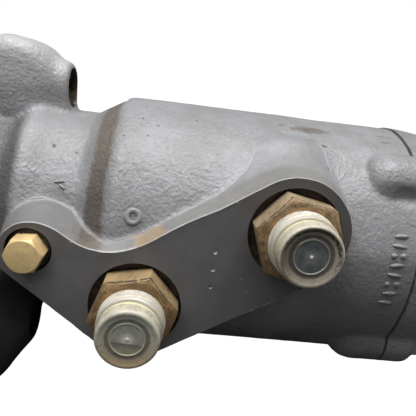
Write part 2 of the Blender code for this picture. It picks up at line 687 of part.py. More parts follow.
case = turned([(0, 3), (60, 3), (64, 20), (64, 149.7), (0, 149.7)], "+Z", O, 32)
case = join(case, plate(rounded_square(70, 14), 0, 16, "+Z", O))
case = join(case, turned([(0, 30), (46, 30), (47.5, 64), (50, 66.5), (50, 90), (0, 90)], "+X", OUT_AXIS, 28))
for deg in LUGS:
    a = math.radians(deg)
    lp = (0, -LUG_R * math.cos(a), MOTOR_Z + LUG_R * math.sin(a))
    r = 15.6 if deg == 90.0 else 31.0
    # the upper lug starts clear of the top cover, the lower ones run back into the wall
    back = 65.2 if deg == 90.0 else 52
    case = join(case, turned([(0, back), (r - 5, back + 0.8), (r, back + 8), (r, 88), (0, 88)], "+X", lp, 16))
case = cut(
    case,
    rod(140, 83.9, 140, "+X", OUT_AXIS, 24),
    rod(53.0, 22, 160, "+Z", O, 32),
    rod(31.4, 30, 90, "+X", OUT_AXIS, 28),
    rod(35.5, 79.7, 90, "+X", OUT_AXIS, 32),
)
case = join(case, tube(26.4, 35.0, 18, 46.0, "+Z", O, 28))
for deg in LUGS:
    a = math.radians(deg)
    lp = (0, -LUG_R * math.cos(a), MOTOR_Z + LUG_R * math.sin(a))
    case = cut(case, rod(5.4, 67.0, 90, "+X", lp, 10))
for sx in (-1, 1):
    for sy in (-1, 1):
        case = cut(case, rod(6.5, -5, 40, "+Z", (sx * 56.5, sy * 56.5, 0), 12), rod(11.0, 15.0, 30, "+Z", (sx * 56.5, sy * 56.5, 0), 14))
for k in range(COVER_SCREWS):
    a = math.tau * (k + 0.5) / COVER_SCREWS
    case = cut(case, rod(3.2, 132, 160, "+Z", (58.5 * math.cos(a), 58.5 * math.sin(a), 0), 8))
for z in (34.0, 112.0):
    case = join(case, rod(15.0, 57, 66.0, "-X", (0, 0, z), 18))
    case = cut(case, rod(8.3, 40, 80, "-X", (0, 0, z), 14))
finish(case, "gear_case", CAST, 0.6, 0.2, O)

cover = turned(
    [(17.0, 146.3), (31.3, 146.3), (31.3, 125), (38.0, 125), (40.0, 146), (52.7, 146), (52.7, 150.8), (64.0, 150.8), (64.0, 158.5), (62.5, 160), (36, 160), (33.5, 164.0), (24.3, 164.0), (24.3, 154.0), (17.0, 154.0)],
    "+Z", O, 28,
)
for k in range(COVER_SCREWS):
    a = math.tau * (k + 0.5) / COVER_SCREWS
    cover = cut(cover, rod(3.3, 140, 170, "+Z", (58.5 * math.cos(a), 58.5 * math.sin(a), 0), 8))
cover = cut(cover, rod(5.3, 140, 170, "+Z", (-45.5, 0, 0), 16))
finish(cover, "top_cover", CAST, 0.6, 0.2, O)

gasket = tube(53.5, 64.0, 150.0, 150.5, "+Z", O, 36)
for k in range(COVER_SCREWS):
    a = math.tau * (k + 0.5) / COVER_SCREWS
    gasket = cut(gasket, rod(3.3, 140, 170, "+Z", (58.5 * math.cos(a), 58.5 * math.sin(a), 0), 8))
finish(gasket, "top_cover_gasket", PAPER, 0.8, 0.0)

for k in range(COVER_SCREWS):
    a = math.tau * (k + 0.5) / COVER_SCREWS
    at = (58.5 * math.cos(a), 58.5 * math.sin(a), 0)
    s = rod(4.9, 160.3, 166.3, "+Z", at, 14)
    s = join(s, rod(2.8, 134, 161, "+Z", at, 8))
    s = cut(s, plate(hexagon(5.0), 163.0, 170, "+Z", at))
    finish(s, "top_cover_screw_%d" % (k + 1), DARK, 0.4, 0.8)
finish(tube(15.4, 24.0, 154.3, 163.0, "+Z", O, 24), "output_shaft_seal", NBR, 0.6, 0.0)

flange = rod(49.6, 84.2, 84.7, "+X", OUT_AXIS, 24)
for deg in LUGS:
    a = math.radians(deg)
    lp = (0, -LUG_R * math.cos(a), MOTOR_Z + LUG_R * math.sin(a))
    flange = join(flange, rod(14.8 if deg == 90.0 else 25.6, 84.2, 84.7, "+X", lp, 20))
    flange = cut(flange, rod(5.6, 80, 90, "+X", lp, 10))
flange = cut(flange, rod(36.0, 80, 90, "+X", OUT_AXIS, 28))
finish(flange, "flange_gasket", PAPER, 0.8, 0.0)

for name, z in (("oil_drain_plug", 34.0), ("oil_fill_plug", 112.0)):
    at = (0, 0, z)
    p = hex_head(19.0, 68.3, 76.5, "-X", at, 30, 1.0)
    p = join(p, rod(12.0, 66.3, 68.6, "-X", at, 16), rod(7.8, 56.5, 67, "-X", at, 12))
    finish(p, name, BRASS, 0.35, 0.9)

b = turned([(0, 150), (5.0, 150), (5.0, 160.3), (7.5, 160.3), (7.5, 164), (5.4, 165), (5.4, 167.5), (8.6, 168.5), (8.6, 175), (7.2, 177.2), (0, 178)], "+Z", (-45.5, 0, 0), 16)
finish(b, "breather", BRASS, 0.4, 0.9)
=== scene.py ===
"""Looks for the right angle bevel gearbox and its bolt-on hydraulic motor.

Everything is in the row frame: Z up along the output shaft, X along the motor.
Lengths below are millimetres unless they say otherwise.
"""

import math

import bmesh
import bpy
import numpy as np
from mathutils import Matrix, Vector


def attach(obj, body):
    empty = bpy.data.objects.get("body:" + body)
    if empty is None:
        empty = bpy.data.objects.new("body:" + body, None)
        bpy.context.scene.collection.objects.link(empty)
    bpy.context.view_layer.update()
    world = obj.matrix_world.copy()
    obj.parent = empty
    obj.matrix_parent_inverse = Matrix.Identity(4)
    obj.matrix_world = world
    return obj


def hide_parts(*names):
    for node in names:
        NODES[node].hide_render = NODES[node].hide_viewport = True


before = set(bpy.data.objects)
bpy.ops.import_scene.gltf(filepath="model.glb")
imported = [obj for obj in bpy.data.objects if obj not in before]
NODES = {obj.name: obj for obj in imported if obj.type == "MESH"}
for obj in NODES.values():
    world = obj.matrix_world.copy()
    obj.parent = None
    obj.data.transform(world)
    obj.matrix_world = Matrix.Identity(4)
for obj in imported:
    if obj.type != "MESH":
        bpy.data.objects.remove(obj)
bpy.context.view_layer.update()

MM = 0.001
SHIFT_X, MOTOR_Z = 190.0, 95.0
O = (0, 0, 0)


def motor(x, y=0.0, z=0.0):
    """The motor's own axes, X along its barrel, in the row frame."""
    return (x + SHIFT_X, y, z + MOTOR_Z)


M0 = motor(0)
OUT_AXIS = (0, 0, MOTOR_Z)
SEAM_X = 87.8
PAD_Y = -53.37
PORT_A, PORT_B, PLUG_AT = (-25.6, -24.9), (35.8, 13.4), (-69.35, -4.7)
PORT_PAD_R, PLUG_PAD_R = 23.3, 13.5
LUGS = (90.0, -45.0, -135.0)
LUG_R, BOLT_PCR, LOBE_R = 58.0, 52.0, 12.0

AX = {
    "+Z": Matrix.Identity(4),
    "+X": Matrix.Rotation(math.radians(90), 4, "Y"),
    "-X": Matrix.Rotation(math.radians(-90), 4, "Y"),
    "-Y": Matrix.Rotation(math.radians(90), 4, "X"),
}


# The port pad and its fittings are laid out in their own slightly larger scale; this sets them
# at their true size and place on the barrel.
SEAT_K, SEAT_AT = 0.946586, (9.3315, -11.9808, 8.6104)
SEAT = Matrix.Translation(Vector(SEAT_AT) * MM) @ Matrix.Scale(SEAT_K, 4)
PAD_FACE = -62.5


def seated(x, y, z):
    p = SEAT @ (Vector(motor(x, y, z)) * MM)
    return (p.x / MM, p.y / MM, p.z / MM)


def seat(obj):
    obj.data.transform(SEAT)
    return obj


# ------------------------------------------------------------------ mesh tools
def place(axis, at):
    return Matrix.Translation(Vector(at) * MM) @ AX[axis]


def link(name, mesh):
    obj = bpy.data.objects.new(name, mesh)
    bpy.context.scene.collection.objects.link(obj)
    return obj


def solid(name, verts, faces):
    mesh = bpy.data.meshes.new(name)
    mesh.from_pydata([tuple(v) for v in verts], [], faces)
    bm = bmesh.new()
    bm.from_mesh(mesh)
    bmesh.ops.remove_doubles(bm, verts=bm.verts, dist=1e-7)
    bmesh.ops.recalc_face_normals(bm, faces=bm.faces)
    bm.to_mesh(mesh)
    bm.free()
    return link(name, mesh)


def turned(profile, axis="+Z", at=O, seg=96, spin=0.0):
    closed = profile[0][0] > 0 and profile[-1][0] > 0
    m = place(axis, at)
    verts, rings = [], []
    for r, h in profile:
        if r <= 0:
            rings.append([len(verts)])
            verts.append(m @ Vector((0, 0, h * MM)))
        else:
            rings.append(list(range(len(verts), len(verts) + seg)))
            for k in range(seg):
                a = math.tau * k / seg + math.radians(spin)
                verts.append(m @ Vector((r * MM * math.cos(a), r * MM * math.sin(a), h * MM)))
    faces = []
    n = len(rings)
    for i in range(n if closed else n - 1):
        a, b = rings[i], rings[(i + 1) % n]
        for k in range(seg):
            j = (k + 1) % seg
            if len(a) == 1 and len(b) == 1:
                continue
            if len(a) == 1:
                faces.append((a[0], b[k], b[j]))
            elif len(b) == 1:
                faces.append((a[k], a[j], b[0]))
            else:
                faces.append((a[k], a[j], b[j], b[k]))
    return solid("turned", verts, faces)


def rod(r, h0, h1, axis="+Z", at=O, seg=64, chamfer=0.0):
    c = chamfer
    if c:
        return turned([(0, h0), (r - c, h0), (r, h0 + c), (r, h1 - c), (r - c, h1), (0, h1)], axis, at, seg)
    return turned([(0, h0), (r, h0), (r, h1), (0, h1)], axis, at, seg)


def tube(r0, r1, h0, h1, axis="+Z", at=O, seg=96, c=0.3):
    return turned([(r0, h0), (r1 - c, h0), (r1, h0 + c), (r1, h1 - c), (r1 - c, h1), (r0, h1)], axis, at, seg)


def loft(rings):
    n = len(rings[0])
    verts = [p for ring in rings for p in ring]
    faces = [tuple(range(n)), tuple(range((len(rings) - 1) * n, len(rings) * n))]
    for i in range(len(rings) - 1):
        for k in range(n):
            j = (k + 1) % n
            faces.append((i * n + k, i * n + j, (i + 1) * n + j, (i + 1) * n + k))
    return solid("loft", verts, faces)


def plate(points, h0, h1, axis="+Z", at=O):
    m = place(axis, at)
    return loft([[m @ Vector((x * MM, y * MM, h * MM)) for x, y in points] for h in (h0, h1)])


def evaluated(obj):
    deps = bpy.context.evaluated_depsgraph_get()
    deps.update()
    return bpy.data.meshes.new_from_object(obj.evaluated_get(deps))


def bake(obj):
    mesh = evaluated(obj)
    obj.modifiers.clear()
    obj.data = mesh
    return obj


def boolean(target, tools, operation, solver="MANIFOLD"):
    for tool in tools:
        before = len(target.data.vertices)
        for way in (solver, "EXACT" if solver == "MANIFOLD" else "MANIFOLD"):
            mod = target.modifiers.new("b", "BOOLEAN")
            mod.operation, mod.solver, mod.object = operation, way, tool
            mesh = evaluated(target)
            target.modifiers.clear()
            if len(mesh.vertices) and len(mesh.vertices) != before:
                break
        target.data = mesh
        bpy.data.objects.remove(tool)
    return target


def cut(target, *tools, solver="MANIFOLD"):
    return boolean(target, tools, "DIFFERENCE", solver)


def join(target, *tools, solver="MANIFOLD"):
    return boolean(target, tools, "UNION", solver)


def hexagon(af, turn=0.0):
    r = af / math.sqrt(3.0)
    return [(r * math.cos(math.radians(turn + 60 * k)), r * math.sin(math.radians(turn + 60 * k))) for k in range(6)]


def hex_head(af, h0, h1, axis, at, turn=0.0, face=0.47, slope=0.55):
    """A hexagon with its outer corners turned off by a cone; face is the flat's radius over af."""
    body = plate(hexagon(af, turn), h0, h1, axis, at)
    r = af / math.sqrt(3.0)
    drop = (r - af * face) * slope
    limit = turned([(0, h0 - 1), (r + 1, h0 - 1), (r + 1, h1 - drop - slope), (af * face, h1 + 0.001), (0, h1 + 0.001)], axis, at, 96)
    return boolean(body, [limit], "INTERSECT", "EXACT")


def arc(cx, cy, r, a0, a1, n):
    return [
        (cx + r * math.cos(math.radians(a0 + (a1 - a0) * k / n)), cy + r * math.sin(math.radians(a0 + (a1 - a0) * k / n)))
        for k in range(n + 1)
    ]


def rounded_square(half, r, n=10):
    pts = []
    for cx, cy, a in ((half - r, half - r, 0), (r - half, half - r, 90), (r - half, r - half, 180), (half - r, r - half, 270)):
        pts += arc(cx, cy, r, a, a + 90, n)
    return pts


def lattice(i, seed):
    """A repeatable random number in -1..1 for each whole-number point."""
    h = (i[:, 0] * 374761393 + i[:, 1] * 668265263 + i[:, 2] * 1442695041 + seed * 97531) & 0xFFFFFFFF
    h = ((h ^ (h >> 13)) * 1274126177) & 0xFFFFFFFF
    return ((h ^ (h >> 16)) & 0xFFFF) / 32767.5 - 1.0


def lumps(p, size, seed):
    q = p / size
    i = np.floor(q).astype(np.int64)
    f = q - i
    f = f * f * (3 - 2 * f)
    total = np.zeros(len(p))
    for dx in (0, 1):
        for dy in (0, 1):
            for dz in (0, 1):
                w = (f[:, 0] if dx else 1 - f[:, 0]) * (f[:, 1] if dy else 1 - f[:, 1]) * (f[:, 2] if dz else 1 - f[:, 2])
                total += w * lattice(i + np.array([dx, dy, dz]), seed)
    return total


def points_of(mesh):
    co = np.empty(len(mesh.vertices) * 3, np.float32)
    mesh.vertices.foreach_get("co", co)
    return co.reshape(-1, 3).astype(float)


def casting(name, solids, voxel, rounds, soft=None, waves=((22, 0.16), (7, 0.07), (2.6, 0.05)), dents=(), seed=1):
    """Fuses closed solids into one skin, rounds its corners as a sand casting's are, and lets the
    surface wander a little. soft(points) says where, from 0 to 1, it gets a wider fillet."""
    bm = bmesh.new()
    for s in solids:
        bm.from_mesh(s.data)
        bpy.data.objects.remove(s)
    mesh = bpy.data.meshes.new(name)
    bm.to_mesh(mesh)
    bm.free()
    obj = link(name, mesh)
    mod = obj.modifiers.new("skin", "REMESH")
    mod.mode, mod.voxel_size = "VOXEL", voxel * MM
    mod = obj.modifiers.new("round", "SMOOTH")
    mod.factor, mod.iterations = 0.5, rounds
    bake(obj)
    if soft:
        w = soft(points_of(obj.data) / MM)
        group = obj.vertex_groups.new(name="soft")
        for level in range(1, 9):
            chosen = np.nonzero((w > (level - 0.5) / 8) & (w <= (level + 0.5) / 8))[0]
            if len(chosen):
                group.add(chosen.tolist(), level / 8, "REPLACE")
        mod = obj.modifiers.new("wide", "SMOOTH")
        mod.factor, mod.iterations, mod.vertex_group = 0.5, 60, "soft"
        bake(obj)
        obj.vertex_groups.clear()
    co = points_of(obj.data)
    no = np.empty(len(co) * 3, np.float32)
    obj.data.vertex_normals.foreach_get("vector", no)
    no = no.reshape(-1, 3)
    p = co / MM
    move = sum(height * lumps(p, size, seed + k) for k, (size, height) in enumerate(waves))
    for at, radius, depth in dents:
        move = move - depth * np.exp(-((p - np.array(at)) ** 2).sum(1) / radius ** 2)
    co = co + no * (move * MM)[:, None]
    obj.data.vertices.foreach_set("co", co.astype(np.float32).ravel())
    obj.data.update()
    return obj


def shade(obj, angle=32):
    obj.data.shade_smooth()
    obj.data.set_sharp_from_angle(angle=math.radians(angle))
    return obj


def faces_of(obj):
    n = len(obj.data.polygons)
    c, m = np.empty(n * 3, np.float32), np.empty(n * 3, np.float32)
    obj.data.polygons.foreach_get("center", c)
    obj.data.polygons.foreach_get("normal", m)
    return c.reshape(-1, 3).astype(float) / MM, m.reshape(-1, 3).astype(float)


def attribute(obj, name, values):
    a = obj.data.attributes.new(name, "FLOAT", "POINT")
    a.data.foreach_set("value", np.asarray(values, np.float32))


def on_barrel(x, degrees, radius):
    """A frame on the barrel's side: X along the motor, Z outwards."""
    a = math.radians(degrees)
    out = Vector((0, -math.cos(a), math.sin(a)))
    along = Vector((1, 0, 0))
    side = out.cross(along)
    m = Matrix((along, side, out)).transposed().to_4x4()
    m.translation = Vector(motor(x, -radius * math.cos(a), radius * math.sin(a))) * MM
    return m


def blob(x, degrees, radius, size, turn=0.0, seg=20, rings=12):
    """A soft raised mark: an ellipsoid sunk to its middle in the barrel."""
    m = on_barrel(x, degrees, radius) @ Matrix.Rotation(math.radians(turn), 4, "Z")
    verts, idx = [m @ Vector((0, 0, size[2] * MM))], []
    for i in range(1, rings):
        t = math.pi * i / rings
        row = []
        for k in range(seg):
            a = math.tau * k / seg
            row.append(len(verts))
            verts.append(m @ Vector((size[0] * math.sin(t) * math.cos(a) * MM, size[1] * math.sin(t) * math.sin(a) * MM, size[2] * math.cos(t) * MM)))
        idx.append(row)
    verts.append(m @ Vector((0, 0, -size[2] * MM)))
    last = len(verts) - 1
    faces = []
    for k in range(seg):
        j = (k + 1) % seg
        faces.append((0, idx[0][k], idx[0][j]))
        faces.append((last, idx[-1][j], idx[-1][k]))
        for i in range(len(idx) - 1):
            faces.append((idx[i][k], idx[i + 1][k], idx[i + 1][j], idx[i][j]))
    return solid("mark", verts, faces)


def ring_mark(x, degrees, radius, major, minor, seg=48, round_seg=16, tall=1.0):
    m = on_barrel(x, degrees, radius)
    verts, faces = [], []
    for i in range(seg):
        a = math.tau * i / seg
        for k in range(round_seg):
            b = math.tau * k / round_seg
            r = major + minor * math.cos(b)
            verts.append(m @ Vector((r * math.cos(a) * MM, r * math.sin(a) * MM, minor * tall * math.sin(b) * MM)))
    for i in range(seg):
        for k in range(round_seg):
            i2, k2 = (i + 1) % seg, (k + 1) % round_seg
            faces.append((i * round_seg + k, i2 * round_seg + k, i2 * round_seg + k2, i * round_seg + k2))
    return solid("mark", verts, faces)


# ------------------------------------------------------------------ materials
class Paint:
    """A short way to write a node material whose patterns are placed in millimetres."""

    def __init__(self, name, origin=(0.0, 0.0, 0.0), scale=1.0):
        self.m = bpy.data.materials.new(name)
        self.m.use_nodes = True
        self.t = self.m.node_tree
        self.b = next(n for n in self.t.nodes if n.type == "BSDF_PRINCIPLED")
        tc = self.t.nodes.new("ShaderNodeTexCoord")
        sc = self.node("ShaderNodeVectorMath", {0: tc.outputs["Object"], 3: 1000.0}, operation="SCALE")
        self.p = self.node("ShaderNodeVectorMath", {0: sc, 1: origin}, operation="SUBTRACT")
        if scale != 1.0:
            self.p = self.node("ShaderNodeVectorMath", {0: self.p, 3: scale}, operation="SCALE")
        xyz = self.node("ShaderNodeSeparateXYZ", {0: self.p}, out=None)
        self.x, self.y, self.z = xyz.outputs[0], xyz.outputs[1], xyz.outputs[2]

    def node(self, kind, ins=None, out=0, **props):
        nd = self.t.nodes.new(kind)
        for k, v in props.items():
            setattr(nd, k, v)
        for k, v in (ins or {}).items():
            s = nd.inputs[k]
            if isinstance(v, bpy.types.NodeSocket):
                self.t.links.new(v, s)
            elif hasattr(s.default_value, "__len__") and not hasattr(v, "__len__"):
                s.default_value = (v,) * len(s.default_value)
            else:
                s.default_value = v
        return nd if out is None else nd.outputs[out]

    def f(self, op, a, b=0.0, c=0.0, clamp=False):
        return self.node("ShaderNodeMath", {0: a, 1: b, 2: c}, operation=op, use_clamp=clamp)

    def add(self, a, b): return self.f("ADD", a, b)
    def sub(self, a, b): return self.f("SUBTRACT", a, b)
    def mul(self, a, b): return self.f("MULTIPLY", a, b)
    def most(self, a, b): return self.f("MAXIMUM", a, b)

    def stretch(self, sx, sy, sz):
        return self.node("ShaderNodeVectorMath", {0: self.p, 1: (sx, sy, sz)}, operation="MULTIPLY")

    def noise(self, size, detail=2.0, rough=0.5, at=None, distort=0.0):
        return self.node("ShaderNodeTexNoise", {"Vector": at or self.p, "Scale": 1.0 / size, "Detail": detail, "Roughness": rough, "Distortion": distort})

    def cells(self, size, at=None, feature="F1", rand=1.0):
        return self.node("ShaderNodeTexVoronoi", {"Vector": at or self.p, "Scale": 1.0 / size, "Randomness": rand}, feature=feature)

    def step(self, v, a, b, lo=0.0, hi=1.0):
        return self.node("ShaderNodeMapRange", {0: v, 1: a, 2: b, 3: lo, 4: hi}, interpolation_type="SMOOTHSTEP", clamp=True)

    def near(self, at, radius, edge=0.5):
        """1 close to a point, falling to 0 at the radius."""
        d = self.node("ShaderNodeVectorMath", {0: self.p, 1: at}, operation="DISTANCE", out=1)
        return self.step(d, radius * (1 - edge), radius, 1.0, 0.0)

    def oval(self, at, radii, edge=0.6, wobble=None):
        """1 inside an ellipsoid, with an edge broken up by a noise."""
        v = self.node("ShaderNodeVectorMath", {0: self.p, 1: at}, operation="SUBTRACT")
        v = self.node("ShaderNodeVectorMath", {0: v, 1: tuple(1.0 / r for r in radii)}, operation="MULTIPLY")
        d = self.node("ShaderNodeVectorMath", {0: v}, operation="LENGTH", out=1)
        if wobble is not None:
            d = self.add(d, self.mul(self.sub(wobble, 0.5), 1.6))
        return self.step(d, 1.0 - edge, 1.0, 1.0, 0.0)

    def mix(self, fac, a, b, mode="MIX"):
        nd = self.t.nodes.new("ShaderNodeMix")
        nd.data_type, nd.blend_type = "RGBA", mode
        nd.clamp_factor = True
        for key, v in ((0, fac), (6, a), (7, b)):
            if isinstance(v, bpy.types.NodeSocket):
                self.t.links.new(v, nd.inputs[key])
            else:
                nd.inputs[key].default_value = v if key == 0 else (*v[:3], 1.0)
        return nd.outputs[2]

    def attr(self, name):
        return self.node("ShaderNodeAttribute", out=2, attribute_name=name)

    def bump(self, height, distance, strength=1.0, under=None):
        ins = {"Height": height, "Distance": distance * MM, "Strength": strength}
        if under is not None:
            ins["Normal"] = under
        return self.node("ShaderNodeBump", ins)

    def finish(self, color, rough, normal=None, metal=0.0, specular=0.5, coat=0.0, coat_rough=0.1, subsurface=0.0):
        for key, v in (("Base Color", color), ("Roughness", rough), ("Normal", normal), ("Metallic", metal)):
            if v is None:
                continue
            s = self.b.inputs[key]
            if isinstance(v, bpy.types.NodeSocket):
                self.t.links.new(v, s)
            else:
                s.default_value = (*v[:3], 1.0) if key == "Base Color" else v
        self.b.inputs["Specular IOR Level"].default_value = specular
        self.b.inputs["Coat Weight"].default_value = coat
        self.b.inputs["Coat Roughness"].default_value = coat_rough
        if subsurface:
            self.b.inputs["Subsurface Weight"].default_value = subsurface
            self.b.inputs["Subsurface Radius"].default_value = (1.0, 0.8, 0.5)
            self.b.inputs["Subsurface Scale"].default_value = 0.003
        return self.m


FIT = (SHIFT_X, 0.0, MOTOR_Z)


def cast_paint(name, origin=FIT, motor_marks=False, cover_marks=False, dark=1.0):
    """Silver-grey paint over a sand casting: pebbled, mottled, with pits and oil in its hollows, painted shade towards
    its underside and, on the motor, painted shade in its recesses and a few painted highlights.
    """
    k = Paint(name, origin)
    fine = k.noise(1.25, 3.0, 0.6)
    peb = k.cells(1.7, feature="SMOOTH_F1")
    mid = k.noise(4.5, 3.0, 0.55)
    big = k.noise(19.0, 3.0, 0.6)
    broad = k.noise(46.0, 2.0, 0.5)
    base = k.mix(k.step(big, 0.3, 0.72), (0.235 * dark, 0.232 * dark, 0.234 * dark), (0.300 * dark, 0.300 * dark, 0.312 * dark))
    base = k.mix(k.step(fine, 0.44, 0.30, 0.0, 0.32), base, (0.13, 0.128, 0.13))
    base = k.mix(k.step(mid, 0.60, 0.74, 0.0, 0.35), base, (0.37, 0.375, 0.39))
    base = k.mix(k.step(mid, 0.36, 0.24, 0.0, 0.40), base, (0.165, 0.155, 0.145))
    # scattered pits and specks of dirt
    spots = k.cells(9.0)
    pits = k.mul(k.step(spots, 0.085, 0.05), k.step(k.noise(23.0, 1.0), 0.50, 0.58))
    base = k.mix(k.mul(pits, 0.8), base, (0.045, 0.042, 0.04))
    rub = k.mul(k.step(k.noise(6.0, 4.0, 0.7, at=k.stretch(0.35, 1.0, 1.0)), 0.60, 0.70), k.step(broad, 0.5, 0.62))
    base = k.mix(k.mul(rub, 0.35), base, (0.17, 0.145, 0.13))
    # painted shade: the paint darkens towards the underside
    lower = k.step(k.z, 16.0, -34.0)
    base = k.mix(k.mul(lower, 0.62), base, (0.085, 0.079, 0.068))
    grain = k.add(k.mul(fine, 1.0), k.mul(peb, 0.55))
    smoothness = None
    if motor_marks:
        wall = k.attr("wall")
        grain = k.mul(grain, k.step(wall, 0.15, 0.7, 1.0, 0.16))
        wall = k.mul(wall, k.most(k.step(k.x, 0.0, -16.0), k.step(k.y, -49.0, -53.5)))
        base = k.mix(k.mul(wall, 0.80), base, k.mix(k.step(k.x, -30.0, -8.0), k.mix(k.step(k.x, -44.0, -36.0), (0.160, 0.157, 0.154), (0.200, 0.196, 0.193)), (0.190, 0.187, 0.175)))
        # oil in the groove at the barrel's shoulder, with painted shade making it darker lower down
        wander = k.mul(k.sub(k.noise(13.0, 2.0), 0.5), 3.5)
        xx = k.add(k.x, wander)
        band = k.mul(k.step(xx, -50.3, -47.8), k.step(xx, -39.8, -42.6))
        band = k.mul(band, k.step(k.y, 6.0, -14.0))
        base = k.mix(k.mul(band, 0.88), base, k.mix(k.step(k.z, 50.0, 15.0), (0.135, 0.105, 0.077), (0.070, 0.052, 0.038)))
        halo = k.mul(k.mul(k.step(xx, -54.5, -48.0), k.step(xx, -36.0, -42.0)), k.step(k.y, 6.0, -14.0))
        base = k.mix(k.mul(halo, 0.22), base, (0.15, 0.125, 0.10))
        # bare and rusty rubs on top of the barrel
        broken = k.noise(3.2, 4.0, 0.7)
        scuff = k.oval((43.2, -21.0, 53.0), (10.5, 4.2, 3.4), 0.55, broken)
        base = k.mix(k.mul(scuff, 0.75), base, k.mix(k.step(broken, 0.42, 0.60), (0.150, 0.112, 0.082), (0.070, 0.046, 0.038)))
        for at, radii, depth in (
            ((48.4, -31.2, 48.0), (2.0, 0.9, 1.2), 0.9),
            ((30.5, -19.0, 54.0), (2.4, 1.0, 1.0), 0.5),
            ((79.0, -18.0, 54.2), (5.5, 0.9, 1.2), 0.45),
            ((78.5, -23.4, 52.1), (3.6, 0.8, 1.0), 0.55),
            ((73.0, -27.0, 50.4), (2.4, 0.8, 1.0), 0.35),
            ((41.5, -29.0, 49.2), (3.4, 1.0, 1.2), 0.40),
            ((-66.0, -33.0, 34.6), (0.95, 1.6, 1.1), 0.95),
            ((-56.5, -34.6, 33.2), (0.8, 1.4, 0.9), 0.85),
            ((-30.9, -27.6, 50.0), (0.8, 1.2, 1.0), 0.6),
            ((-24.0, -31.0, 48.0), (0.8, 1.2, 1.0), 0.5),
            ((-41.5, -43.3, 37.3), (1.0, 1.3, 1.2), 0.45),
        ):
            base = k.mix(k.mul(k.oval(at, radii, 0.5, broken), depth), base, (0.055, 0.045, 0.04))
        # oil and dirt in front of the bolt lobe
        lobe = k.oval((70.5, -39.0, 40.5), (7.5, 6.5, 7.5), 0.9, k.noise(5.0, 3.0))
        base = k.mix(k.mul(lobe, 0.72), base, (0.085, 0.060, 0.044))
        shade_below = k.oval((80.5, -46.5, 36.5), (12.0, 5.5, 3.6), 0.7)
        base = k.mix(k.mul(shade_below, 0.80), base, (0.055, 0.053, 0.052))
        # painted highlight: a lighter patch on the barrel below the lobe's painted shade
        painted_highlight_below_lobe = k.oval((82.5, -48.2, 30.2), (8.5, 4.5, 3.6), 0.8)
        base = k.mix(k.mul(painted_highlight_below_lobe, 0.60), base, (0.46, 0.46, 0.465))
        # painted shade: darker low on the neck
        neck = k.oval((-60.0, -46.0, 15.0), (11.0, 9.0, 9.0), 0.9)
        base = k.mix(k.mul(neck, 0.42), base, (0.10, 0.098, 0.094))
        # painted shade: darker low on the far end of the barrel
        far_low_shade = k.mul(k.step(k.x, 36.0, 58.0), k.step(k.z, 14.0, 3.0))
        base = k.mix(k.mul(far_low_shade, 0.50), base, (0.105, 0.103, 0.100))
        # painted light: the top of the upper lug is lighter
        top_lug_light = k.mul(k.step(k.x, -64.0, -70.0), k.step(k.z, 55.0, 62.0))
        base = k.mix(k.mul(top_lug_light, 0.72), base, (0.48, 0.48, 0.475))
        # painted shade on the barrel's underside, broken up by a noise
        belly_shade = k.mul(k.step(k.z, -22.0, -40.0), k.step(k.noise(15.0, 3.0), 0.35, 0.6))
        base = k.mix(k.mul(belly_shade, 0.45), base, (0.050, 0.042, 0.032))
        # the flank's two edges catch the light
        lip = k.mul(k.step(k.y, -61.55, -62.15), k.step(k.z, -6.0, 0.0))
        base = k.mix(k.mul(lip, 0.80), base, (0.48, 0.48, 0.475))
        foot = k.mul(k.mul(k.step(wall, 0.02, 0.30), k.step(wall, 0.95, 0.45)), k.step(k.x, 2.0, -8.0))
        foot = k.mul(foot, k.step(k.z, -4.0, 2.0))
        base = k.mix(k.mul(foot, 0.60), base, (0.42, 0.42, 0.42))
        # dry tan patch on the pad's flank
        tan = k.oval((-23.0, -59.0, 8.6), (9.0, 14.0, 5.5), 0.35, k.noise(4.0, 2.0))
        base = k.mix(k.mul(k.mul(tan, wall), 0.70), base, (0.36, 0.245, 0.130))
        grime = k.mul(k.step(k.noise(9.0, 4.0, 0.65), 0.46, 0.64), wall)
        base = k.mix(k.mul(grime, 0.20), base, (0.36, 0.31, 0.24))
        # painted shade: darker in the recess behind the flange ridge, and near black on the underside of the lower lugs
        back = k.add(k.x, k.mul(k.step(k.z, 22.0, 46.0), 3.5))
        ridge_back_shade = k.step(back, -75.0, -80.5)
        low = k.step(k.z, 50.0, 42.0)
        base = k.mix(k.mul(k.mul(ridge_back_shade, low), 0.80), base, (0.050, 0.048, 0.046))
        under = k.mul(k.step(k.x, -58.0, -68.0), k.step(k.z, -6.0, -22.0))
        base = k.mix(k.mul(under, 0.90), base, (0.012, 0.011, 0.010))
    if cover_marks:
        seam = k.mul(k.step(k.x, 94.0, 88.5), k.step(k.noise(5.0, 3.0), 0.38, 0.62))
        base = k.mix(k.mul(seam, 0.5), base, (0.13, 0.115, 0.10))
        runs = k.mul(k.step(k.noise(3.0, 3.0, 0.6, at=k.stretch(0.2, 1.0, 0.5)), 0.52, 0.68), k.step(k.z, 20.0, -25.0))
        base = k.mix(k.mul(runs, 0.45), base, (0.13, 0.095, 0.075))
    rough = k.step(k.add(mid, k.mul(k.sub(fine, 0.5), 0.6)), 0.3, 0.75, 0.50, 0.36)
    nrm = k.bump(grain, 0.62, 0.62)
    nrm = k.bump(k.mul(mid, 1.0), 0.9, 0.40, nrm)
    return k.finish(base, rough, nrm, 0.0, 0.80)


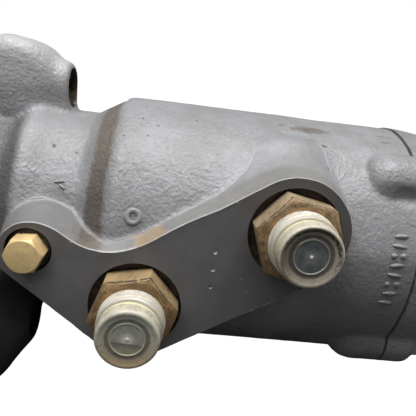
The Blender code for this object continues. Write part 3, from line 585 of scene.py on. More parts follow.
def machined_paint(name, origin=FIT):
    """The same paint over a milled face: thin, smooth and darkened by oil."""
    k = Paint(name, origin)
    fine = k.noise(0.9, 3.0, 0.6)
    big = k.noise(17.0, 3.0, 0.6)
    lines = k.noise(0.7, 2.0, 0.5, at=k.stretch(0.06, 1.0, 1.0))
    base = k.mix(k.step(big, 0.3, 0.7), (0.128, 0.124, 0.126), (0.165, 0.160, 0.162))
    base = k.mix(k.step(fine, 0.40, 0.28, 0.0, 0.35), base, (0.13, 0.125, 0.125))
    stain = k.step(k.noise(28.0, 4.0, 0.65, distort=0.6), 0.52, 0.70)
    base = k.mix(k.mul(stain, 0.40), base, (0.10, 0.086, 0.075))
    right = k.step(k.x, -10.0, 35.0)
    base = k.mix(k.mul(right, 0.50), base, (0.082, 0.070, 0.066))
    low = k.step(k.z, 0.0, -45.0)
    base = k.mix(k.mul(low, 0.35), base, (0.115, 0.100, 0.094))
    chips = k.mul(k.step(k.cells(6.5), 0.075, 0.04), k.step(k.noise(14.0, 1.0), 0.52, 0.6))
    base = k.mix(k.mul(chips, 0.6), base, (0.42, 0.41, 0.40))
    rough = k.step(k.noise(6.0, 3.0), 0.3, 0.7, 0.36, 0.50)
    nrm = k.bump(k.add(k.mul(fine, 0.5), k.mul(lines, 0.5)), 0.10, 0.35)
    return k.finish(base, rough, nrm, 0.10, 0.5)


def recess_oil_and_shade_paint(name, origin=FIT):
    """A spotface full of old oil, with painted shade that makes it near black."""
    k = Paint(name, origin)
    n = k.noise(3.0, 4.0, 0.65)
    base = k.mix(k.step(n, 0.38, 0.66), (0.014, 0.010, 0.008), (0.085, 0.050, 0.028))
    return k.finish(base, k.step(n, 0.3, 0.7, 0.35, 0.7), k.bump(n, 0.3, 0.5), 0.0, 0.5)


def plated(name, at, colour, rust=1.0, seed=0.0, metal=0.2, lift=(0.62, 0.50, 0.31)):
    """Yellow zinc plating, brown with old oil, brightest on its edges."""
    k = Paint(name, seated(at[0], 0, at[1]), 1.0 / SEAT_K)
    shifted = k.node("ShaderNodeVectorMath", {0: k.p, 1: (seed, seed * 0.7, -seed)}, operation="ADD")
    fine = k.noise(0.9, 3.0, 0.65, at=shifted)
    mid = k.noise(3.6, 4.0, 0.65, at=shifted, distort=0.5)
    big = k.noise(10.0, 3.0, 0.6, at=shifted, distort=0.4)
    base = k.mix(k.step(big, 0.32, 0.68), tuple(c * 0.85 for c in colour), tuple(c * 1.12 for c in colour))
    base = k.mix(k.step(mid, 0.56, 0.72, 0.0, 0.40), base, lift)
    base = k.mix(k.step(fine, 0.42, 0.30, 0.0, 0.25), base, tuple(c * 0.5 for c in colour))
    rad = k.f("SQRT", k.add(k.mul(k.x, k.x), k.mul(k.z, k.z)))
    if rust > 0.5:
        # depth below the turned-off crown of the hexagon
        deep = k.sub(k.add(k.y, 64.46), k.mul(k.most(k.sub(rad, 15.06), 0.0), 0.5))
        crown = k.step(deep, 0.35, 0.05)
        brown = k.mix(k.step(mid, 0.40, 0.62), (0.125, 0.066, 0.026), (0.34, 0.205, 0.085))
        base = k.mix(k.mul(crown, 0.72), base, brown)
        rusty = k.mul(k.step(rad, 14.8, 13.4), k.step(mid, 0.42, 0.60))
        base = k.mix(k.mul(k.mul(crown, rusty), 0.55), base, (0.45, 0.215, 0.062))
        tide = k.mul(k.step(deep, 0.0, 0.30), k.step(deep, 2.1, 0.9))
        tide = k.mul(tide, k.step(k.add(k.noise(2.4, 4.0, 0.7, at=shifted), k.mul(k.add(k.x, k.z), 0.004)), 0.45, 0.55))
        base = k.mix(k.mul(tide, 0.92), base, (0.026, 0.018, 0.015))
        streak = k.mul(k.mul(k.step(rad, 14.2, 15.0), k.step(rad, 16.8, 15.6)), k.step(k.noise(1.7, 4.0, 0.7, at=shifted), 0.50, 0.62))
        base = k.mix(k.mul(streak, 0.70), base, (0.040, 0.026, 0.020))
        right = k.mul(k.step(k.x, 5.0, 15.0), k.step(k.z, 8.0, 0.0))
        base = k.mix(k.mul(right, 0.55), base, (0.16, 0.095, 0.045))
        low = k.step(k.z, -6.0, -14.0)
        base = k.mix(k.mul(low, 0.45), base, (0.20, 0.12, 0.045))
        root = k.step(k.y, -56.0, -51.5)
        base = k.mix(k.mul(root, 0.70), base, (0.05, 0.028, 0.016))
    specks = k.mul(k.step(k.cells(2.6, at=shifted), 0.17, 0.08), k.step(mid, 0.45, 0.6))
    base = k.mix(k.mul(specks, 0.45), base, (0.07, 0.04, 0.03))
    rough = k.step(k.add(mid, k.mul(fine, 0.3)), 0.4, 0.9, 0.34, 0.58)
    nrm = k.bump(k.add(mid, k.mul(fine, 0.6)), 0.22, 0.45)
    return k.finish(base, rough, nrm, metal, 0.5)


def cap_plastic(name, at, wet=0.0, seed=0.0):
    """Cloudy plastic thread cap: white skirt, yellowed crest, and a dark see-through end."""
    k = Paint(name, seated(at[0], 0, at[1]), 1.0 / SEAT_K)
    shifted = k.node("ShaderNodeVectorMath", {0: k.p, 1: (seed, -seed, seed * 0.6)}, operation="ADD")
    rad = k.f("SQRT", k.add(k.mul(k.x, k.x), k.mul(k.z, k.z)))
    fine = k.noise(0.8, 3.0, 0.6, at=shifted)
    mid = k.noise(3.0, 4.0, 0.6, at=shifted)
    around = k.noise(2.2, 3.0, 0.6, at=k.node("ShaderNodeVectorMath", {0: shifted, 1: (0.22, 1.6, 0.22)}, operation="MULTIPLY"))
    base = k.mix(k.step(around, 0.40, 0.62), (0.58, 0.53, 0.43), (0.74, 0.71, 0.62))
    # threads showing through the skirt, and grey dirt where it meets the hexagon
    thread = k.f("SINE", k.mul(k.y, 3.3))
    base = k.mix(k.mul(k.step(thread, 0.1, 0.9), 0.26), base, (0.36, 0.34, 0.30))
    base = k.mix(k.mul(k.step(mid, 0.55, 0.70), 0.30), base, (0.42, 0.36, 0.26))
    hem = k.mul(k.step(k.y, -67.4, -65.6), k.step(k.noise(1.8, 3.0, 0.6, at=shifted), 0.46, 0.60))
    base = k.mix(k.mul(hem, 0.65), base, (0.20, 0.185, 0.16))
    # painted shade in the groove under the crest
    groove = k.mul(k.step(k.y, -71.7, -72.2), k.step(k.y, -73.3, -72.9))
    base = k.mix(k.mul(groove, 0.55), base, (0.30, 0.27, 0.21))
    # the end piece: yellow at its back edge, cloudy, brown underneath
    end = k.step(k.y, -72.7, -73.1)
    body = k.mix(k.step(mid, 0.35, 0.65), (0.46, 0.42, 0.31), (0.60, 0.56, 0.44))
    base = k.mix(k.mul(end, 0.90), base, body)
    crest = k.mul(k.step(k.y, -72.8, -73.2), k.step(k.y, -74.5, -73.8))
    base = k.mix(k.mul(crest, 0.85), base, (0.82, 0.78, 0.40))
    under = k.mul(end, k.step(k.z, 1.0, -9.0))
    base = k.mix(k.mul(under, 0.62), base, (0.25, 0.185, 0.105))
    # seen end on
    out = k.step(k.y, -77.9, -78.1)
    face = k.mul(out, k.step(rad, 11.6, 11.0))
    side = k.add(k.mul(k.x, 0.7), k.mul(k.z, -0.7))
    if wet:
        outer = k.mix(k.step(k.z, -8.0, 4.0), (0.30, 0.235, 0.14), (0.46, 0.45, 0.37))
        band = (0.125, 0.120, 0.095)
        glass = k.mix(k.step(k.noise(4.0, 3.0, 0.6, at=shifted), 0.35, 0.65), (0.27, 0.265, 0.225), (0.36, 0.355, 0.30))
    else:
        outer = k.mix(k.step(side, -7.0, 6.0), (0.12, 0.098, 0.072), (0.33, 0.30, 0.235))
        band = (0.055, 0.048, 0.040)
        glass = k.mix(k.step(k.noise(4.0, 3.0, 0.6, at=shifted), 0.35, 0.65), (0.075, 0.085, 0.090), (0.125, 0.130, 0.128))
    base = k.mix(k.mul(face, 0.85), base, outer)
    blotch = k.mul(face, k.step(k.noise(2.0, 4.0, 0.7, at=shifted), 0.52, 0.66))
    base = k.mix(k.mul(blotch, 0.35), base, (0.11, 0.09, 0.065))
    ring = k.mul(out, k.mul(k.step(rad, 6.5, 6.9), k.step(rad, 8.7, 8.0)))
    base = k.mix(k.mul(ring, 0.80), base, band)
    if not wet:
        # ragged black dirt under the crest, thickest at the top
        crumbs = k.step(k.add(k.noise(1.1, 4.0, 0.75, at=shifted), k.mul(k.add(k.z, k.mul(k.x, 0.25)), 0.016)), 0.50, 0.60)
        rim = k.mul(out, k.mul(k.step(rad, 9.2, 9.8), k.step(rad, 11.0, 10.6)))
        base = k.mix(k.mul(k.mul(rim, crumbs), 0.95), base, (0.018, 0.014, 0.010))
    disc = k.mul(out, k.step(rad, 6.5, 6.1))
    base = k.mix(disc, base, glass)
    # painted highlight: the end disc is lighter towards its centre
    glow = k.mul(disc, k.step(rad, 3.8, 0.2))
    if wet:
        level = k.add(k.z, k.mul(k.x, 0.06))
        pool = k.mul(disc, k.step(level, -1.5, -1.9))
        base = k.mix(k.mul(k.mul(glow, k.step(level, -1.9, -1.5)), 0.75), base, (0.80, 0.76, 0.68))
        base = k.mix(k.mul(pool, 0.80), base, k.mix(k.step(level, -2.0, -4.5), (0.14, 0.13, 0.11), (0.30, 0.265, 0.20)))
    else:
        base = k.mix(k.mul(glow, 0.35), base, (0.42, 0.42, 0.40))
        # painted highlight: a bright dot at the very centre
        centre_highlight_dot = k.mul(disc, k.step(rad, 0.9, 0.3))
        base = k.mix(centre_highlight_dot, base, (0.85, 0.85, 0.82))
    thin = k.mul(out, k.mul(k.step(rad, 5.95, 6.2), k.step(rad, 6.75, 6.5)))
    base = k.mix(k.mul(thin, 0.75), base, (0.42, 0.41, 0.26) if wet else (0.27, 0.27, 0.23))
    rough = k.add(k.step(mid, 0.3, 0.7, 0.28, 0.42), k.mul(end, -0.04))
    nrm = k.bump(k.add(k.mul(fine, 0.5), k.mul(around, 0.8)), 0.16, 0.35)
    return k.finish(base, rough, nrm, 0.0, 0.5, coat=0.25, coat_rough=0.22, subsurface=0.12)


def steel(name, colour=(0.46, 0.46, 0.47), metal=0.9, rough=(0.26, 0.42), grain=(1.0, 1.0, 0.12), stain=0.35, origin=OUT_AXIS):
    k = Paint(name, origin)
    lines = k.noise(0.45, 3.0, 0.6, at=k.stretch(*grain))
    mid = k.noise(6.0, 3.0, 0.6)
    base = k.mix(k.step(lines, 0.3, 0.7), tuple(c * 0.92 for c in colour), tuple(c * 1.06 for c in colour))
    base = k.mix(k.mul(k.step(mid, 0.55, 0.75), stain), base, tuple(c * 0.6 for c in colour))
    return k.finish(base, k.step(k.add(mid, k.mul(lines, 0.3)), 0.35, 0.9, *rough), k.bump(lines, 0.008, 0.25), metal, 0.5)


def plain(name, dark, light, rough=(0.45, 0.65), size=4.0, bump=0.1, metal=0.0, origin=(0, 0, 0)):
    k = Paint(name, origin)
    n = k.noise(size, 4.0, 0.6)
    fine = k.noise(size * 0.16, 2.0, 0.5)
    base = k.mix(k.step(k.add(n, k.mul(k.sub(fine, 0.5), 0.5)), 0.3, 0.7), dark, light)
    return k.finish(base, k.step(n, 0.3, 0.7, *rough), k.bump(k.add(n, fine), bump, 0.4), metal, 0.5)


def clothe(obj, *mats):
    obj.data.materials.clear()
    for m in mats:
        obj.data.materials.append(m)


def show(obj, name, body, slot, *nodes, mats=(), angle=32):
    obj.name = name
    obj.data.name = name
    if mats:
        clothe(obj, *mats)
    shade(obj, angle)
    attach(obj, body)
    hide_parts(*nodes)
    return obj


# ------------------------------------------------------------------ camera
cam_data = bpy.data.cameras.new("camera")
cam_data.lens, cam_data.sensor_width = 39.04, 36.0
cam_data.clip_start, cam_data.clip_end = 0.01, 50.0
camera = bpy.data.objects.new("camera", cam_data)
bpy.context.scene.collection.objects.link(camera)
right = Vector((0.99073323, -0.05190529, 0.12551295))
down = Vector((0.10750629, -0.26507092, -0.95821699))
ahead = Vector((0.08300636, 0.96283085, -0.25703443))
cam_m = Matrix((right, -down, -ahead)).transposed().to_4x4()
cam_m.translation = Vector((0.1747, -0.2243, 0.1612))
camera.matrix_world = cam_m
bpy.context.scene.camera = camera


# ------------------------------------------------------------------ motor housing
def lug_place(deg):
    a = math.radians(deg)
    return motor(0, -LUG_R * math.cos(a), LUG_R * math.sin(a))


def bolt_place(deg):
    a = math.radians(deg)
    return motor(0, BOLT_PCR * math.cos(a), BOLT_PCR * math.sin(a))


PAD_TOP = [
    (3.2, 22.7), (-6.4, 17.4), (-13.8, 12.6), (-20.8, 7.6), (-26.3, 4.4), (-32.0, 2.2), (-37.6, 1.3), (-43.2, 1.8),
    (-48.0, 3.2), (-52.4, 5.6), (-56.2, 8.0), (-60.0, 9.6), (-63.9, 10.3), (-67.6, 10.1), (-71.5, 8.8), (-75.0, 5.9), (-77.2, 2.4),
]
PAD_OFF = (SEAT_AT[0] + (SEAT_K - 1) * SHIFT_X, SEAT_AT[2] + (SEAT_K - 1) * MOTOR_Z)


def smooth(pts, n):
    """A curve through the points (Catmull-Rom), without its two ends' outer halves."""
    out = []
    full = [pts[0]] + list(pts) + [pts[-1]]
    for i in range(1, len(full) - 2):
        a, b, c, d = (np.array(full[j]) for j in (i - 1, i, i + 1, i + 2))
        for k in range(n):
            t = k / n
            out.append(tuple(0.5 * (2 * b + (c - a) * t + (2 * a - 5 * b + 4 * c - d) * t * t + (3 * b - a - 3 * c + d) * t ** 3)))
    out.append(tuple(pts[-1]))
    return out


def pad_outline(d=0.0, n=2):
    """The port pad's edge, x to the right and z up, its arcs grown by d."""
    (ax, az), (bx, bz), (px, pz) = PORT_A, PORT_B, PLUG_AT
    along = math.degrees(math.atan2(bz - az, bx - ax))
    dp = math.hypot(ax - px, az - pz)
    down_a = math.degrees(math.atan2(az - pz, ax - px))
    lean = math.degrees(math.asin((PORT_PAD_R - PLUG_PAD_R) / dp))
    pts = arc(bx, bz, PORT_PAD_R + d, along - 90, along + 90, 16 * n)
    pts += smooth([((x - PAD_OFF[0]) / SEAT_K, (z - PAD_OFF[1]) / SEAT_K) for x, z in PAD_TOP], 4)
    pts += arc(px, pz, PLUG_PAD_R + d, 205, down_a + 270 - lean, 3 * n)
    pts += arc(ax, az, PORT_PAD_R + d, down_a - 90 - lean, along - 90, 8 * n)
    return pts


def pad_edge():
    """Points round the pad's edge and the way out from each, in the motor's own axes."""
    here = np.array(pad_outline(0.0)) * SEAT_K + np.array(PAD_OFF)
    gap = np.linalg.norm(here - np.roll(here, 1, 0), axis=1)
    here = here[gap > 0.05]
    ahead_of = np.roll(here, -1, 0) - np.roll(here, 1, 0)
    way = np.stack([ahead_of[:, 1], -ahead_of[:, 0]], 1)
    way /= np.linalg.norm(way, axis=1)[:, None]
    return here, way


def pad_ring(grow, y):
    here, way = pad_edge()
    pts = here + way * np.asarray(grow)[..., None]
    return [Vector(motor(x, y, z)) * MM for x, z in pts]


def pad_draft():
    """The slope of the pad's flank in degrees, steep in places and leaning well out in others."""
    here, way = pad_edge()
    upper = np.interp(
        here[:, 0],
        [-77, -70, -59.5, -55.2, -50.4, -45.4, -40.8, -36.8, -31.0, -25.4, -19.8, -14.2, -8.5, -4.7, 15, 33, 50],
        [19, 15, 15, 15, 16, 16, 20, 31, 34, 33, 29, 22, 16, 14, 12, 11, 10],
    )
    w = np.clip((way[:, 1] + 0.3) / 0.6, 0, 1)
    slope = upper * w + 12.0 * (1 - w)
    wide = np.concatenate([slope[-6:], slope, slope[:6]])
    return np.convolve(wide, np.ones(13) / 13, "valid")


def ridge(profile, at, deep, corner):
    """A lug that stands on the barrel, flat-sided and carried down by 'deep'."""
    rings = []
    for r, h in profile:
        c = r * corner(h)
        outline = [(-r, -deep), (r, -deep)] + arc(r - c, r - c, c, 0, 90, 12) + arc(c - r, r - c, c, 90, 180, 12)
        rings.append([Vector((at[0] + h, at[1] + y, at[2] + z)) * MM for y, z in outline])
    return loft(rings)


UPPER_LUG = [
    (0, -112), (15.0, -112), (18.4, -99.6), (20.0, -92.0), (19.2, -86.5), (17.9, -81.5),
    (15.4, -76.2), (12.4, -73.0), (11.4, -67.6), (10.6, -66.7), (0, -66.7),
]
LOWER_LUG = [
    (0, -112), (31.5, -112), (31.0, -88), (26.8, -80.5), (19.8, -76.4), (14.2, -72.6), (10.8, -70.0), (8.0, -68.3), (0, -67.6),
]
BARREL = [
    (0, -112), (49.6, -112), (49.6, -100), (47.6, -96), (46.0, -91), (46.2, -86), (48.4, -82.4), (50.6, -79.5),
    (51.0, -77.2), (50.2, -74.2), (48.6, -70.6), (47.7, -66), (47.7, -54), (48.6, -52.2), (51.0, -48.8),
    (53.4, -45), (55.8, -41.3), (57.0, -38.3), (57.15, -36.5), (57.15, 94), (0, 94),
]

bulk = [turned(BARREL, "+X", M0, 160)]
# the pad's flanks lean out towards the barrel
draft = np.tan(np.radians(pad_draft()))
depths = [-1.5, 0, 1.5, 3, 5, 7, 9, 12, 15, 18, 21, 24, 27, 30, 33, 36]
edge_at, edge_way = pad_edge()
flare = np.interp(edge_at[:, 0], [-22, -6], [0, 1]) * np.clip((edge_way[:, 1] + 0.1) / 0.5, 0, 1)
bulk.append(loft([pad_ring(np.minimum(draft * dep + flare * max(dep - 8.0, 0.0) ** 2 / 62.0, 12.0), PAD_FACE + dep) for dep in depths]))
for deg in LUGS:
    if deg == 90.0:
        bulk.append(ridge(UPPER_LUG[1:-1], lug_place(deg), 34.0, lambda h: float(np.interp(h, [-80, -72], [0.42, 0.88]))))
    else:
        bulk.append(turned(LOWER_LUG, "+X", lug_place(deg), 72))
for deg in (45, 135, -45, -135):
    bulk.append(turned([(0, 64.2), (5.0, 64.8), (8.6, 67.0), (11.0, 70.4), (LOBE_R, 75), (LOBE_R, 94), (0, 94)], "+X", bolt_place(deg), 48))


def near_flange(p):
    """Wider fillets on the flange end, none on the barrel and its pad."""
    x = p[:, 0] - SHIFT_X
    z = p[:, 2] - MOTOR_Z
    w = np.clip((-60.0 - x) / 8.0, 0, 1) * np.clip((x + 104.0) / 3.0, 0, 1)
    pad = np.clip((z + 22) / 4, 0, 1) * np.clip((16 - z) / 4, 0, 1) * np.clip((-p[:, 1] - 44) / 3, 0, 1)
    shoulder = np.clip((x - 2) / 12, 0, 1) * np.clip((60 - x) / 8, 0, 1) * np.clip((z - 37) / 5, 0, 1) * (p[:, 1] < -15)
    return np.maximum(w * (1 - pad), 0.8 * shoulder)


dents = [
    (motor(-66.0, -31.8, 35.6), 0.9, 0.45), (motor(-56.5, -34.3, 33.2), 0.8, 0.4), (motor(48.4, -31.2, 48.0), 1.1, 0.3),
    (motor(-30.9, -27.6, 50.0), 0.8, 0.3), (motor(5.0, -30.0, 48.6), 0.8, 0.2), (motor(63.0, -34.0, 46.0), 1.0, 0.25),
]
housing = casting("motor_housing_cast", bulk, 0.85, 9, near_flange, dents=dents, seed=11)
housing = cut(
    housing,
    plate([(-160, -160), (160, -160), (160, 160), (-160, 160)], -140, -105, "+X", M0),
    plate([(-160, -160), (160, -160), (160, 160), (-160, 160)], SEAM_X - 0.5, 140, "+X", M0),
)
cast_keep = len(housing.data.vertices)
# raised casting marks: a ring, a run of plain bars and dots, and a few nibs
marks = [ring_mark(-29.2, 14.6, 57.1, 2.45, 0.95, tall=0.95)]
for x, deg, size, turn in (
    (79.6, 18.0, (3.2, 1.0, 1.05), 6), (79.2, 13.9, (3.3, 0.95, 1.05), -4), (81.2, 9.9, (1.5, 1.25, 1.0), 0), (77.4, 9.7, (1.4, 1.2, 1.0), 0),
    (79.2, 5.8, (3.3, 1.0, 1.05), 8), (79.0, 1.6, (3.3, 1.0, 1.05), -5), (80.9, -2.4, (1.5, 1.3, 1.0), 0), (76.9, -2.6, (1.4, 1.2, 1.0), 0),
    (78.8, -6.7, (3.3, 1.05, 1.05), 6), (78.4, -11.2, (3.3, 1.0, 1.05), 0),
    (70.8, -14.6, (1.1, 0.8, 0.45), 0), (62.0, -17.0, (0.8, 0.6, 0.3), 0),
):
    marks.append(blob(x, deg, 57.0, size, turn))
for x, deg, size, turn in ((-61.0, 27.4, (2.2, 0.55, 0.8), 12), (-59.6, 25.0, (1.7, 0.5, 0.8), -38)):
    marks.append(blob(x, deg, 47.7, size, turn))
housing = join(housing, *marks)

# machining
tools = [
    loft([pad_ring(0.0, PAD_FACE), pad_ring(0.0, -110)]),
    rod(16.0, -118, 96, "+X", M0, 64), rod(24.3, -119, -94.7, "+X", M0, 72),
]
for deg in LUGS:
    p = lug_place(deg)
    tools += [turned([(0, -88), (8.7, -88), (8.7, -67.2), (9.3, -66.4), (9.3, -40), (0, -40)], "+X", p, 64), rod(5.4, -107, -87, "+X", p, 32)]
for x, z in (PORT_A, PORT_B):
    p = motor(x, 0, z)
    tools += [
        seat(turned([(0, 50.7), (18.7, 50.7), (19.23, 51.2), (19.23, 90), (0, 90)], "-Y", p, 128)),
        seat(rod(16.2, 49.2, 52, "-Y", p, 64)), seat(rod(13.7, 16.0, 50, "-Y", p, 64)),
    ]
p = motor(PLUG_AT[0], 0, PLUG_AT[1])
tools += [seat(t) for t in (turned([(0, 49.6), (8.9, 49.6), (9.3, 50.0), (9.3, 90), (0, 90)], "-Y", p, 96), rod(7.2, 36.0, 51, "-Y", p, 48), rod(3.2, 2.0, 37, "-Y", p, 24))]
for deg in (45, 135, -45, -135):
    tools.append(rod(5.3, 70.5, 95, "+X", bolt_place(deg), 32))
# punch marks on the pad, and nicks along its edge
for x, z in ((4.7, 2.5), (4.7, -5.2), (4.7, -12.9)):
    tools.append(seat(turned([(0, 52.55), (0.45, 52.75), (0.85, 53.2), (1.0, 53.5), (1.0, 55), (0, 55)], "-Y", motor(x, 0, z), 20)))
for x, z, r in ((-52.5, 1.2, 0.7), (10.5, 24.6, 0.6), (24.0, -30.0, 0.5)):
    tools.append(seat(turned([(0, 53.0), (r, 53.2), (r, 55), (0, 55)], "-Y", motor(x, 0, z), 10)))
housing = cut(housing, *tools)
print("housing", len(housing.data.polygons))

co = points_of(housing.data) / MM - np.array(FIT)
rr = np.hypot(co[:, 1], co[:, 2])
prof = np.array([(h, r) for r, h in BARREL if r > 0])
base_r = np.interp(co[:, 0], prof[:, 0], prof[:, 1])
wall = np.clip((rr - base_r - 0.35) / 0.7, 0, 1) * (co[:, 1] < -22) * (co[:, 1] > PAD_FACE - 0.01) * (co[:, 0] < 64) * (co[:, 0] > -84) * (co[:, 2] > -60)
wall *= 1.0 - np.clip((-76.0 - co[:, 0]) / 5.0, 0, 1) * (co[:, 2] > 2)
attribute(housing, "wall", wall)

c, n = faces_of(housing)
c = c - np.array(FIT)
index = np.zeros(len(c), np.int32)
index[(np.abs(c[:, 1] - PAD_FACE) < 0.06) & (n[:, 1] < -0.98)] = 1
spots = [np.array(seated(q[0], 0, q[1])) - np.array(FIT) for q in (PORT_A, PORT_B, PLUG_AT)]
da, db, dp = (np.hypot(c[:, 0] - q[0], c[:, 2] - q[2]) for q in spots)
recess = ((da < 18.28) | (db < 18.28) | (dp < 8.87)) & (c[:, 1] > PAD_FACE + 0.06) & (c[:, 1] < -10)
index[recess] = 2
# the lug counterbores and the bore take the same near-black recess paint: painted shade in the holes
for deg in LUGS:
    q = np.array(lug_place(deg)) - np.array(FIT)
    d = np.hypot(c[:, 1] - q[1], c[:, 2] - q[2])
    index[(d < 9.0) & (c[:, 0] < -60)] = 2
index[(rr.size > 0) & (np.hypot(c[:, 1], c[:, 2]) < 24.5)] = 2
clothe(housing, cast_paint("housing_cast", motor_marks=True), machined_paint("housing_milled"), recess_oil_and_shade_paint("housing_recess_oil_and_shade"))
housing.data.polygons.foreach_set("material_index", index)
show(housing, "housing_shell", "case", "housing_paint", "motor_housing", angle=30)

# ------------------------------------------------------------------ end cover
COVER_X0 = SEAM_X + 0.7
bulk = [turned([(0, COVER_X0 - 8), (57.7, COVER_X0 - 8), (57.7, 92), (57.3, 96), (56.2, 105), (54.6, 118), (53.2, 126), (50.8, 130.6), (46, 134), (0, 134)], "+X", M0, 160)]
for deg in (45, 135, -45, -135):
    bulk.append(turned([(0, COVER_X0 - 8), (LOBE_R, COVER_X0 - 8), (LOBE_R, 99), (11.4, 101.2), (10.0, 102.6), (0, 102.6)], "+X", bolt_place(deg), 48))
cover = casting("end_cover_cast", bulk, 0.95, 8, waves=((22, 0.14), (7, 0.06), (2.6, 0.05)), seed=31)
tools = [
    plate([(-160, -160), (160, -160), (160, 160), (-160, 160)], 60, COVER_X0, "+X", M0),
    plate([(-160, -160), (160, -160), (160, 160), (-160, 160)], 133.98, 160, "+X", M0),
    rod(40.4, 70, 116.0, "+X", M0, 96), rod(10.6, 110, 127, "+X", M0, 48),
]
for deg in (45, 135, -45, -135):
    tools += [rod(5.3, 80, 125, "+X", bolt_place(deg), 32), rod(10.3, 101.4, 126, "+X", bolt_place(deg), 64)]
for y in (36.3, -36.3):
    tools.append(rod(2.3, 110, 124, "+X", motor(0, y, 0), 24))
cover = cut(cover, *tools)
show(cover, "end_cover_shell", "case", "cover_paint", "end_cover", mats=(cast_paint("cover_cast", cover_marks=True),), angle=30)

# ------------------------------------------------------------------ port fittings
ZINC = (0.42, 0.300, 0.150)
for tag, at, turn, seed in (("a", PORT_A, 131.9, 3.0), ("b", PORT_B, 169.0, 41.0)):
    p = motor(at[0], 0, at[1])
    body = hex_head(31.7, 51.3, 64.46, "-Y", p, turn, 0.475, 0.50)
    bev = body.modifiers.new("edge", "BEVEL")
    bev.width, bev.segments, bev.limit_method, bev.angle_limit = 0.28 * MM, 2, "ANGLE", math.radians(40)
    bake(body)
    neck = turned([(7.5, 30), (12.6, 30), (13.2, 30.8), (13.2, 52), (10.9, 52), (10.9, 73.9), (10.2, 74.3), (7.5, 74.3)], "-Y", p, 96)
    hole = rod(7.6, 20, 90, "-Y", p, 64)
    body = cut(body, hole, solver="EXACT")
    bm = bmesh.new()
    bm.from_mesh(body.data)
    bm.from_mesh(neck.data)
    bm.to_mesh(body.data)
    bm.free()
    bpy.data.objects.remove(neck)
    seat(body)
    show(body, "adapter_" + tag, "case", "plated_steel", "port_adapter_" + tag, mats=(plated("adapter_plating_" + tag, at, ZINC if tag == "a" else (0.44, 0.335, 0.205), 1.0, seed, lift=(0.62, 0.50, 0.31) if tag == "a" else (0.66, 0.56, 0.42)),))
    e = 0.5 if tag == "a" else 0.0
    cap = turned(
        [(0, 74.6), (11.15, 74.6), (11.15, 64.7), (12.9, 64.7), (13.3, 65.1), (13.35, 66.4), (13.05, 66.8), (12.85, 66.9), (12.8, 68.0), (13.0, 68.3),
         (13.0, 69.2), (12.8, 69.5), (12.8, 70.2), (12.95, 70.5), (12.9, 71.6), (12.55, 72.0), (11.9, 72.15), (11.75, 72.5), (11.8, 72.8), (12.07, 73.1), (12.07, 77.4 + e), (11.95, 78.1 + e), (11.6, 78.8 + e), (11.1, 79.15 + e),
         (10.6, 79.15 + e), (10.15, 78.9 + e), (9.7, 78.6 + e), (8.6, 78.5 + e), (8.2, 78.35 + e), (8.0, 78.2 + e), (7.0, 78.2 + e), (6.8, 78.4 + e), (6.5, 78.5 + e), (6.25, 78.4 + e), (6.1, 78.2 + e), (0.9, 78.15 + e), (0.6, 78.4 + e), (0.3, 78.5 + e), (0, 78.5 + e)],
        "-Y", p, 112,
    )
    seat(cap)
    show(cap, "cap_" + tag, "case", "cap_plastic", "port_cap_" + tag, mats=(cap_plastic("cap_plastic_" + tag, at, 1.0 if tag == "a" else 0.0, seed),), angle=40)

p = motor(PLUG_AT[0], 0, PLUG_AT[1])
plug = hex_head(13.5, 51.0, 60.7, "-Y", p, 65.0, 0.485, 1.15)
bev = plug.modifiers.new("edge", "BEVEL")
bev.width, bev.segments, bev.limit_method, bev.angle_limit = 0.2 * MM, 2, "ANGLE", math.radians(40)
bake(plug)
shank = rod(6.9, 41.0, 51.4, "-Y", p, 48, 0.6)
plug = seat(join(plug, shank, solver="EXACT"))
show(plug, "drain_plug", "case", "drain_plug_plating", "case_drain_plug", mats=(plated("plug_plating", PLUG_AT, (0.86, 0.625, 0.30), 0.0, 9.0, metal=0.2, lift=(0.92, 0.74, 0.44)),))

# ------------------------------------------------------------------ bolts and screws
bolt_mat = steel("bolt_steel", (0.36, 0.35, 0.33), 0.75, (0.38, 0.55), (0.3, 1, 1), 0.6, M0)
for number, deg in enumerate((45, 135, -45, -135), 1):
    p = bolt_place(deg)
    head = hex_head(16.0, 103.4, 110.2, "+X", p, deg + 10, 0.47, 0.5)
    head = join(head, rod(9.6, 101.8, 103.6, "+X", p, 64, 0.3), solver="EXACT")
    head = join(head, rod(4.95, 72, 103, "+X", p, 32), solver="EXACT")
    show(head, "cover_bolt_%d" % number, "case", "bolt_steel", "end_cover_bolt_%d" % number, mats=(bolt_mat,))

black = plain("black_oxide", (0.018, 0.018, 0.019), (0.045, 0.044, 0.043), (0.35, 0.5), 3.0, 0.06, 0.6)
for number, deg in enumerate(LUGS, 1):
    p = lug_place(deg)
    s = turned([(0, -121), (4.4, -121), (5.0, -120.4), (5.0, -87.7), (7.9, -87.7), (7.9, -78.7), (7.3, -77.9), (0, -77.9)], "+X", p, 64)
    s = cut(s, plate(hexagon(8.0, 15), -83.0, -70, "+X", p), solver="EXACT")
    show(s, "flange_socket_screw_%d" % number, "case", "screw_steel", "flange_screw_%d" % number, mats=(black,))

# ------------------------------------------------------------------ gear case
bulk = [
    turned([(0, 3), (60, 3), (64, 20), (64, 156), (0, 156)], "+Z", O, 160),
    plate(rounded_square(69.8, 14), -6, 16, "+Z", O),
    turned([(0, 30), (46, 30), (47.5, 64), (49.6, 66.5), (49.6, 92), (0, 92)], "+X", OUT_AXIS, 128),
]
for deg in LUGS:
    a = math.radians(deg)
    lp = (0, -LUG_R * math.cos(a), MOTOR_Z + LUG_R * math.sin(a))
    r = 15.6 if deg == 90.0 else 31.0
    back = 65.2 if deg == 90.0 else 52
    bulk.append(turned([(0, back), (r - 5, back + 0.8), (r, back + 8), (r, 92), (0, 92)], "+X", lp, 72))
for z in (34.0, 112.0):
    bulk.append(rod(15.0, 50, 70.0, "-X", (0, 0, z), 48))


def keep_square(p):
    return np.zeros(len(p))


